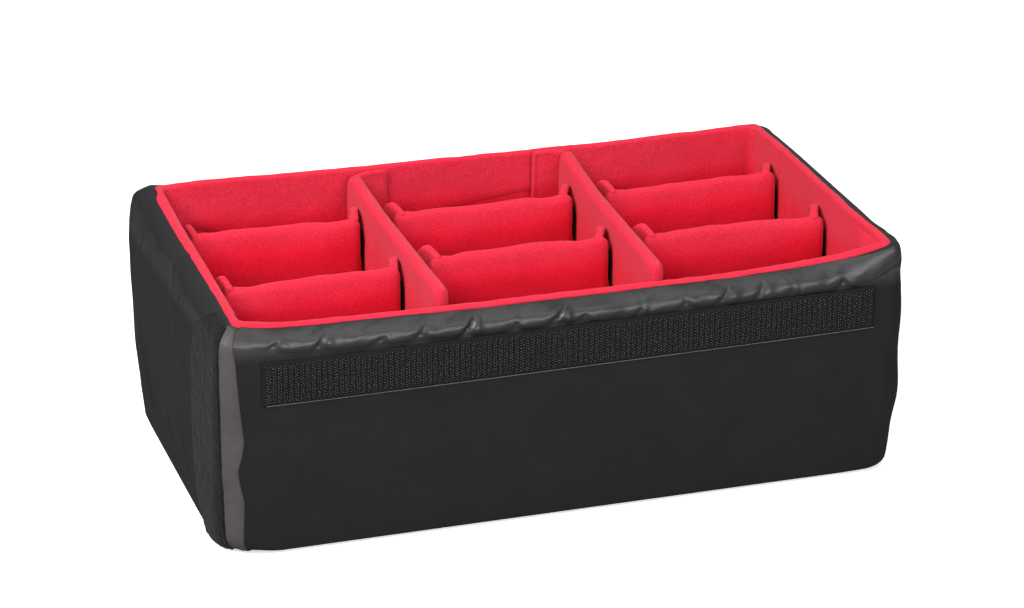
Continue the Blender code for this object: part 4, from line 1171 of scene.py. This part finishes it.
def crossSpec(column, front):  # front is y of the divider's front face
    back = front + boards["thick"]
    tabs, ends = {}, []
    for end, sign in (("left", -1), ("right", 1)):
        y = back + flap["beside"]
        x, skew = columnSide(column, sign, y)
        tabs[end] = {
            "axis": (x - sign * flap["standOff"] / math.cos(skew), y),
            "along": (math.sin(skew), math.cos(skew)),
            "out": (math.cos(skew) * sign, -math.sin(skew) * sign), "top": boards["crossTop"],
        }
        faces = [columnSide(column, sign, v)[0] for v in (front, back)]
        ends.append((max(faces) if sign < 0 else min(faces)) - sign * boards["endGap"])
    return {
        "kind": "cross", "centre": ((ends[0] + ends[1]) / 2, (front + back) / 2), "along": (1.0, 0.0),
        "across": (0.0, 1.0), "half": (ends[1] - ends[0]) / 2, "top": boards["crossTop"], "frontDrop": 0.0,
        "backRise": 0.0, "stand": boards["leftStand"] if column == 0 else 1.0, "tabs": tabs,
    }


def dividerSpecs():
    specs = {name: longSpec(index) for index, name in enumerate(("left_long_divider", "right_long_divider"))}
    for row, shares in (("back", boards["backFaces"]), ("front", boards["frontFaces"])):
        for column, place in enumerate(("left", "middle", "right")):
            specs[f"{row}_{place}_divider"] = crossSpec(column, shares[column] * roomY)
    return specs


def shapeLongTop(spec, half, a, z, risen):  # the back end is round, the front end and the back stand higher
    toEnd = half - np.abs(a)
    arch = np.clip(1 - toEnd / boards["archIn"], 0, 1)
    z = z - boards["archFall"] * (1 - np.sqrt(1 - arch * arch)) * risen * (a > 0)
    z = z + boards["earRise"] * np.clip(1 - toEnd / boards["earIn"], 0, 1) ** 2 * risen * (a < 0)
    return a, z + spec["backRise"] * np.clip((a / half - 0.15) / 0.85, 0, 1) ** 1.6 * risen


def shapeCrossTop(spec, half, seed, a, z, risen):  # dips near the ends, and leans from the wall at the left
    toEnd = half - np.abs(a)
    z = z - boards["dip"] * np.exp(-((toEnd - boards["dipAt"]) / boards["dipWide"]) ** 2) * risen
    z = z + boards["sway"] * np.cos(a / half * 2.2 + seed) * risen
    pulled = smoothStep((z - (spec["top"] - boards["leanDown"])) / boards["leanDown"])
    lean = boards["endLean"] * spec["stand"] * pulled
    return a + lean * smoothStep(1 - (half + a) / boards["leanIn"]), z


def makeDivider(name, spec, seed):
    kind = boards[spec["kind"]]
    height = spec["top"] - boards["foot"]
    half = spec["half"] - kind["fit"]
    mesh = boardMesh({
        "Length": 2 * half, "Thickness": boards["thick"], "Height": height, "Edge": boards["edge"],
        "Cell": boards["cell"], "Crown": kind["crown"], "Wave": kind["wave"], "Nap": boards["nap"],
        "End Fall": boards["endFall"], "Seed": seed * 0.73, "Fabric": redFleece,
    }, name + "Pad")
    local = meshPoints(mesh)
    a, b, z = local[:, 0], local[:, 1], local[:, 2] + height / 2 + boards["foot"]
    # the sleeve draws in towards its top
    b = b * (1 - kind["drawn"] * np.clip(1 - (spec["top"] - z) / boards["drawnDown"], 0, 1) ** 1.7)
    risen = smoothStep(((z - boards["foot"]) / height - 0.45) / 0.55)
    if spec["kind"] == "long":
        a, z = shapeLongTop(spec, half, a, z, risen)
    else:
        a, z = shapeCrossTop(spec, half, seed, a, z, risen)
    z = z - spec["frontDrop"] * smoothStep(-a / spec["half"]) * risen
    along, across, centre = spec["along"], spec["across"], spec["centre"]
    x, y = (centre[axis] + along[axis] * a + across[axis] * b for axis in (0, 1))
    setMeshPoints(mesh, np.stack([x, y, z], axis=1))
    if along[0] * across[1] - along[1] * across[0] < 0:
        mesh.flip_normals()
    obj = finishMesh(name + "Pad", mesh, redFleece, name)
    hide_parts(name + "_cover", name + "_foam")
    return obj


def curve(points, x):  # a smooth curve through a few listed points, given in mm
    xs, ys = (np.array(v) / 1000 for v in zip(*points))
    spread = np.linspace(-0.0016, 0.0016, 5)
    return np.mean([np.interp(x + d, xs, ys) for d in spread], axis=0)


def placeOnTab(tab, s, o, z):
    plan = np.array(tab["axis"]) + np.array(tab["along"]) * s[:, None] + np.array(tab["out"]) * o[:, None]
    return np.concatenate([plan, z[:, None]], axis=1)


def flapSizes(tab):  # its root, its loose edge, its foot and its top
    return flap["root"], flap["length"] + 0.0006, box["floor"] + flap["foot"], tab["top"] + flap["over"]


def shapeFlap(end, tab, stand, s, o, z):  # bends a plain flap: its ear, its lean and its swollen top
    _, finish, low, high = flapSizes(tab)
    cut = flap["round"][end]
    past = np.clip((s - (finish - cut)) / cut, 0, 1)
    ceiling = high - cut * (1 - np.sqrt(1 - past * past)) + curve(flap["rise"][end], s)
    lean = stand * curve(flap["lean"][end], s) * smoothStep((z - (tab["top"] - 0.040)) / 0.034)
    swollen = smoothStep((z - (high - 0.009)) / 0.006) * (1 - smoothStep((s - 0.006) / 0.010))
    o = o * (1 + flap["fullness"][end] * swollen) - lean
    return s, o, low + (z - low) * (ceiling - low) / (high - low)


def stripSizes(tab):  # its edge at the divider's end, its loose edge, its foot and its top
    return (hookStrip["rootInset"] - boards["thick"], flap["length"] - hookStrip["tipInset"],
            box["floor"] + flap["foot"] + hookStrip["lowest"], tab["top"] - hookStrip["fall"])


def shapeStrip(tab, seed, s, o, z):  # cuts its corners, and lets the edge at the divider's end wave
    start, finish, low, high = stripSizes(tab)
    corner = hookStrip["corner"]
    past = np.clip((s - (finish - corner)) / corner, 0, 1)
    before = np.clip((start + corner - s) / corner, 0, 1)
    ceiling = high - corner * (1 - np.sqrt(1 - past * past)) - hookStrip["cut"] * before * before
    ceiling = ceiling - hookStrip["ragged"] * np.abs(np.sin(s * 900 + seed))
    o = o + 0.0003 * np.sin(z * 110 + seed * 2.1) * smoothStep((-0.004 - s) / 0.004)
    # pressed flat where it turns round the fold
    o = o - hookStrip["pressed"] * np.exp(-(s / hookStrip["pressedWide"]) ** 2)
    return s, o, low + (z - low) * (ceiling - low) / (high - low)


def tabPiece(name, end, piece, mesh, material):  # a tab's mesh as an object of its own, its transform baked in
    body = f"{name}_{end}_tab"
    obj = finishMesh(body + piece, mesh, material)
    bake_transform(obj)
    return obj


def plainTabBoard(sizes, look, wave, seed, fabric, name):  # a flat board and its own places along, out and up
    start, finish, low, high = sizes
    mesh = boardMesh({
        "Length": finish - start, "Thickness": look["thick"], "Height": high - low, "Edge": look["edge"],
        "Foot Edge": look["footEdge"], "Cell": look["cell"], "Crown": 0.0, "Wave": wave, "Nap": look["nap"],
        "End Fall": 0.0, "Seed": seed * 1.37 + 5, "Fabric": fabric,
    }, name)
    local = meshPoints(mesh)
    return mesh, local[:, 0] + (start + finish) / 2, local[:, 1], local[:, 2] + (high + low) / 2


def turnFaces(tab, mesh):  # outward again where the tab's own directions mirror the mesh
    if tab["along"][0] * tab["out"][1] - tab["along"][1] * tab["out"][0] < 0:
        mesh.flip_normals()


def makeFlap(name, spec, end, tab, seed):
    body = f"{name}_{end}_tab"
    mesh, s, o, z = plainTabBoard(flapSizes(tab), flap, flap["wave"], seed, redFleece, body + "Flap")
    s, o, z = shapeFlap(end, tab, spec["stand"], s, o, z)
    setMeshPoints(mesh, placeOnTab(tab, s, o + flap["middle"], z))
    turnFaces(tab, mesh)
    obj = tabPiece(name, end, "Flap", mesh, redFleece)
    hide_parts(body)


def makeFlapSeam(name, spec, end, tab):  # stitches down the loose edge and along the top
    body = f"{name}_{end}_tab"
    _, finish, low, high = flapSizes(tab)
    inset = flap["stitchInset"]
    side = np.stack([np.full(60, finish - inset), np.linspace(low + 0.004, high - inset, 60)], axis=1)
    across = np.stack([np.linspace(finish - inset, 0.003, 12), np.full(12, high - inset)], axis=1)
    line = np.concatenate([side, across[1:]])
    o = np.full(len(line), -flap["thick"] / 2 - 0.0001)
    s, o, z = shapeFlap(end, tab, spec["stand"], line[:, 0], o, line[:, 1])
    lines = [placeOnTab(tab, s, o + flap["middle"], z)]
    mesh = stitchMesh(body + "Stitches", lines, flapSeam, redThread)
    tabPiece(name, end, "Stitches", mesh, redThread)


def makeHookStrip(name, end, tab, seed):
    body = f"{name}_{end}_tab"
    mesh, s, o, z = plainTabBoard(stripSizes(tab), hookStrip, 0.0, seed, hookGround, body + "HookStrip")
    s, o, z = shapeStrip(tab, seed, s, o, z)
    setMeshPoints(mesh, placeOnTab(tab, s, o + flap["beside"] + hookStrip["thick"] / 2, z))
    turnFaces(tab, mesh)
    obj = tabPiece(name, end, "HookStrip", mesh, hookGround)
    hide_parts(f"{name}_{end}_hook_strip")


specs = dividerSpecs()
for number, (dividerName, dividerSpec) in enumerate(specs.items()):
    makeDivider(dividerName, dividerSpec, number)
    for tabNumber, (endName, tabSpec) in enumerate(dividerSpec["tabs"].items()):
        tabSeed = number * 2 + tabNumber
        makeFlap(dividerName, dividerSpec, endName, tabSpec, tabSeed)
        makeFlapSeam(dividerName, dividerSpec, endName, tabSpec)
        makeHookStrip(dividerName, endName, tabSpec, tabSeed)
print("dividers and their tabs are made")


# The hook tape along the front, the fuzzy strip, and at the left corner a pale band that is a painted
# highlight
def stripMesh(name, s, z, lift, thick, relief, body="padded_box", material=None):
    # A strip that follows the wall: s and z are (along, up) grids, relief is added to its outer face.
    face, _ = onSleeve(s, z)
    outward = gridNormals(face, closed=False)
    edge = np.ones_like(z)
    edge[[0, -1], :] = 0.25
    edge[:, [0, -1]] = 0.25
    outer = face + outward * (lift + thick * edge + relief)[..., None]
    inner = face + outward * lift
    points = np.concatenate([outer, inner[:, ::-1]], axis=1)
    rows = np.concatenate([z, z[:, ::-1] + 0.2], axis=1)
    mesh = gridMesh(name, points, np.concatenate([s, s[:, ::-1]], axis=1), rows, closeStations=False,
                    caps=True)
    return finishMesh(name, mesh, material, body)


def tapeRise(x):  # the tape climbs a little towards its right end
    return tape["rise"] * np.clip((x - tape["left"]) / (tape["right"] - tape["left"]), 0, 1)


def frontPlace(x, z, lift):  # points of the front wall behind the tape
    low, high = (np.interp(z * 1000, swell["heights"], swell[side][place]) / 1000
                 for side, place in (("left", 2), ("right", 0)))
    low, high = halfLength + low - reach, halfLength + high - reach
    u = (x + low) / (low + high)
    points, _ = wallPlace(u * frontRun, z + tapeRise(x), 0.0, outerRadius(z))
    points[..., 1] -= lift
    return points, u * frontRun


def makeTape():
    x = np.linspace(tape["left"], tape["right"], 330)
    rows = np.linspace(tape["bottom"], tape["top"], 27)
    gx, gz = np.meshgrid(x, rows, indexing="ij")
    _, s = frontPlace(gx, gz, 0.0)
    inset = np.minimum.reduce([gx - tape["left"], tape["right"] - gx, gz - tape["bottom"], tape["top"] - gz])
    groove = -0.00035 * np.exp(-((inset - tape["border"]) / 0.0006) ** 2)
    wander = 0.0004 * ringNoise(gx + 0.3, gz * 0, 0.03, 1.0, 51) * (inset < 0.0012)
    height = gz + wander + tapeRise(gx)
    return stripMesh("frontTapeGround", s, height, tape["lift"], tape["thick"], groove, material=hookGround)


def makeCornerStrip():
    count, rows = 56, 150
    z = np.linspace(closure["stripBottom"], closure["stripTop"], rows)
    backY = curve(closure["stripEdge"], z)
    seam = perimeter - cornerRun * (1 - closure["seamShare"])
    start = runStarts[3] + sideRun * (1 - (backY + halfWidth - reach) / sideRun)
    share = np.linspace(0, 1, count)[:, None]
    s = start[None, :] + share * (seam - start)[None, :]
    gz = np.broadcast_to(z, s.shape).copy()
    noise = np.random.default_rng(61).uniform(-1, 1, s.shape)
    fuzz = 0.00022 * noise + 0.0004 * ringNoise(s, gz, 0.004, 0.004, 62)
    fuzz = fuzz + 0.0004 * ringNoise(s, gz, 0.03, 0.03, 63)
    groove = -0.0006 * np.exp(-(seam - s - 0.0022) ** 2 / 0.0006 ** 2)
    return stripMesh("cornerFuzzyStrip", s, gz, closure["lift"], closure["thick"], fuzz + groove,
                     material=loopPile)


def cornerShare(x, z):  # the share of the front left corner's run at which the front wall reaches x
    radius = outerRadius(z)
    length = 2 * (reach - radius) + radius * math.pi / 2
    corner = -(halfLength + np.interp(z * 1000, swell["heights"], swell["left"][2]) / 1000) + reach
    return 1 - (corner - x) / length


# a pale band round the front left corner, a painted highlight of the corner's reflection
def makeCornerHighlightBand():
    z = np.linspace(0.0012, 0.1712, 140)
    start = np.full_like(z, closure["seamShare"] - 0.02)
    stop = cornerShare(curve(closure["bandEdge"], z), z)
    share = start + np.linspace(0, 1, 22)[:, None] * (stop - start)
    s = perimeter - cornerRun + cornerRun * share
    gz = np.broadcast_to(z, s.shape).copy()
    wrinkle = 0.00025 * ringNoise(s, gz, 0.006, 0.012, 66) + 0.00012 * ringNoise(s, gz, 0.003, 0.004, 67)
    return stripMesh("cornerBand", s, gz, 0.0001, closure["bandThick"], wrinkle, material=cornerHighlightNylon)


hooks = {
    "path": [(0, 0), (0, 0.0007), (0.0001, 0.0010), (0.00035, 0.00118), (0.0006, 0.0010),
             (0.00062, 0.00075)],
    "wire": 0.00021, "taper": 0.35, "border": 0.0012, "sunk": 0.0001,
}


def hookShape():  # one hook: a stem that curls over, as a bent three-sided wire
    path = [(x, y, 0) for x, y in hooks["path"]]
    ring, verts, faces = 3, [], []
    for i, p in enumerate(path):
        ahead = Vector(path[min(i + 1, len(path) - 1)]) - Vector(path[max(i - 1, 0)])
        side = Vector((0, 0, 1))
        across = ahead.normalized().cross(side)
        for k in range(ring):
            angle = 2 * math.pi * k / ring
            wire = hooks["wire"] * (1 - hooks["taper"] * i / (len(path) - 1))
            verts.append(Vector(p) + (across * math.cos(angle) + side * math.sin(angle)) * wire)
    for i in range(len(path) - 1):
        for k in range(ring):
            a, b = i * ring + k, i * ring + (k + 1) % ring
            faces.append((a, b, b + ring, a + ring))
    faces.append(tuple((len(path) - 1) * ring + k for k in range(ring)))
    mesh = bpy.data.meshes.new("hook")
    mesh.from_pydata([tuple(v) for v in verts], [], faces)
    obj = bpy.data.objects.new("hook", mesh)
    bpy.context.scene.collection.objects.link(obj)
    return obj


def makeHookTree():  # a field of hooks in columns that lean left and right by turns
    tree, given, result = newTree("hookField", {
        "Width": ("Float", 0.43), "Height": ("Float", 0.026), "Column Gap": ("Float", 0.0019),
        "Row Gap": ("Float", 0.0018), "Jitter": ("Float", 0.0003), "Hook": ("Object", None),
        "Fabric": ("Material", None),
    })
    counts = []
    for size, gap in (("Width", "Column Gap"), ("Height", "Row Gap")):
        share = addNode(tree, "ShaderNodeMath", {0: given.outputs[size], 1: given.outputs[gap]},
                        operation="DIVIDE")
        counts.append(addNode(tree, "ShaderNodeMath", {0: share.outputs[0]}, operation="ROUND"))
    grid = addNode(tree, "GeometryNodeMeshGrid", {
        "Size X": given.outputs["Width"], "Size Y": given.outputs["Height"],
        "Vertices X": counts[0].outputs[0], "Vertices Y": counts[1].outputs[0],
    })
    index = addNode(tree, "GeometryNodeInputIndex")
    row = addNode(tree, "ShaderNodeMath", {0: index.outputs[0], 1: counts[1].outputs[0]}, operation="DIVIDE")
    column = addNode(tree, "ShaderNodeMath", {0: row.outputs[0]}, operation="FLOOR")
    odd = addNode(tree, "ShaderNodeMath", {0: column.outputs[0], 1: 2.0}, operation="MODULO")
    half = addNode(tree, "ShaderNodeMath", {0: odd.outputs[0], 1: given.outputs["Row Gap"]},
                   operation="MULTIPLY")
    half = addNode(tree, "ShaderNodeMath", {0: half.outputs[0], 1: 0.5}, operation="MULTIPLY")
    low = addNode(tree, "ShaderNodeMath", {0: given.outputs["Jitter"], 1: -1.0}, operation="MULTIPLY")
    lowPlace = addNode(tree, "ShaderNodeCombineXYZ",
                       {0: low.outputs[0], 1: low.outputs[0], 2: low.outputs[0]})
    highPlace = addNode(tree, "ShaderNodeCombineXYZ", {
        0: given.outputs["Jitter"], 1: given.outputs["Jitter"], 2: given.outputs["Jitter"],
    })
    jitter = addNode(tree, "FunctionNodeRandomValue", data_type="FLOAT_VECTOR")
    tree.links.new(lowPlace.outputs[0], jitter.inputs[0])
    tree.links.new(highPlace.outputs[0], jitter.inputs[1])
    jitter.inputs["Seed"].default_value = 3
    shift = addNode(tree, "ShaderNodeCombineXYZ", {0: 0.0, 1: half.outputs[0], 2: 0.0})
    shift = addNode(tree, "ShaderNodeVectorMath", {0: shift.outputs[0], 1: jitter.outputs[0]},
                    operation="ADD")
    moved = addNode(tree, "GeometryNodeSetPosition", {0: grid.outputs[0], "Offset": shift.outputs[0]})
    spin = addNode(tree, "FunctionNodeRandomValue", data_type="FLOAT")
    spin.inputs[2].default_value, spin.inputs[3].default_value = -0.5, 0.5
    spin.inputs["Seed"].default_value = 4
    facing = addNode(tree, "ShaderNodeMath", {0: odd.outputs[0], 1: math.pi}, operation="MULTIPLY")
    facing = addNode(tree, "ShaderNodeMath", {0: facing.outputs[0], 1: spin.outputs[1]}, operation="ADD")
    turn = addNode(tree, "ShaderNodeCombineXYZ", {0: math.pi / 2, 1: 0.0, 2: facing.outputs[0]})
    hook = addNode(tree, "GeometryNodeObjectInfo", {0: given.outputs["Hook"]})
    placed = addNode(tree, "GeometryNodeInstanceOnPoints", {
        "Points": moved.outputs[0], "Instance": hook.outputs["Geometry"], "Rotation": turn.outputs[0],
    })
    real = addNode(tree, "GeometryNodeRealizeInstances", {0: placed.outputs[0]})
    dressed = addNode(tree, "GeometryNodeSetMaterial",
                      {0: real.outputs[0], "Material": given.outputs["Fabric"]})
    tree.links.new(dressed.outputs[0], result.inputs[0])
    return tree


def makeHooks():
    hook = hookShape()
    source = emptyMeshObject("hookFieldSource")
    inner = tape["border"] + hooks["border"]
    width = tape["right"] - tape["left"] - 2 * inner
    height = tape["top"] - tape["bottom"] - 2 * inner - 0.0006
    values = {"Width": width, "Height": height, "Hook": hook, "Fabric": hookPlastic}
    mesh = growMesh(source, makeHookTree(), values, "frontTapeHooks")
    dropObject(source)
    dropObject(hook)
    flat = meshPoints(mesh)
    x, z = flat[:, 0] + (tape["left"] + tape["right"]) / 2, flat[:, 1] + (tape["bottom"] + tape["top"]) / 2
    ground, _ = frontPlace(x, z, tape["lift"] + tape["thick"] - hooks["sunk"])
    setMeshPoints(mesh, ground + np.stack([x * 0, -flat[:, 2], z * 0], axis=1))
    return finishMesh("frontTapeHooks", mesh, hookPlastic, "padded_box")


def tapeSeams():  # two rows along the tape and one across each end
    inner, lines = tape["border"], []
    left, right = tape["left"] + inner, tape["right"] - inner
    low, high = tape["bottom"] + inner, tape["top"] - inner
    for a, b in (((left, low), (right, low)), ((left, high), (right, high)), ((left, low), (left, high)),
                 ((left + 0.004, low), (left + 0.004, high)), ((right, low), (right, high))):
        share = np.linspace(0, 1, 60)
        x, z = a[0] + (b[0] - a[0]) * share, a[1] + (b[1] - a[1]) * share
        lines.append(frontPlace(x, z, tape["lift"] + tape["thick"] + 0.00002)[0])
    return lines


def tapeSelvage():  # a painted highlight along the lower edge: a row of pale grey thread beads
    x = np.linspace(tape["left"] + 0.004, tape["right"] - 0.001, 80)
    return [frontPlace(x, np.full_like(x, tape["bottom"] + 0.0002), tape["lift"] + tape["thick"] * 0.6)[0]]


def cornerSeams():  # the row down the fuzzy strip beside the band
    z = np.linspace(0.006, 0.168, 98)
    s = np.full_like(z, perimeter - cornerRun * (1 - closure["seamShare"]) - 0.0022)
    points, out = onSleeve(s, z)
    points[:, :2] += out * (closure["lift"] + closure["thick"] - 0.0003)
    return [points]


frontTape = makeTape()
frontHooks = makeHooks()
fuzzyStrip = makeCornerStrip()
cornerBand = makeCornerHighlightBand()
seamValues = {"Pitch": 0.0027, "Stitch": 0.0021, "Thread": 0.00042}
edgeHighlightValues = {"Pitch": 0.0013, "Stitch": 0.0017, "Thread": 0.0006}
tapeStitches = makeStitches("tapeStitches", tapeSeams(), seamValues, blackThread, "padded_box")
cornerStitches = makeStitches("cornerStitches", cornerSeams(), seamValues, blackThread, "padded_box")
# a painted highlight: a row of pale thread along the tape's lower edge
edgeHighlight = makeStitches("tapeSelvage", tapeSelvage(), edgeHighlightValues, greyThread, "padded_box")
for obj, slot, node in (
        (frontTape, "hook_tape", "front_hook_tape"), (frontHooks, "hook_tape", None),
        (tapeStitches, "hook_tape", None), (edgeHighlight, "hook_tape", None),
        (fuzzyStrip, "loop_tape", "corner_loop_tape"), (cornerStitches, "loop_tape", None),
        (cornerBand, "grey_nylon", "corner_binding")):
    if node:
        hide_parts(node)
print("the tapes and the band are on")
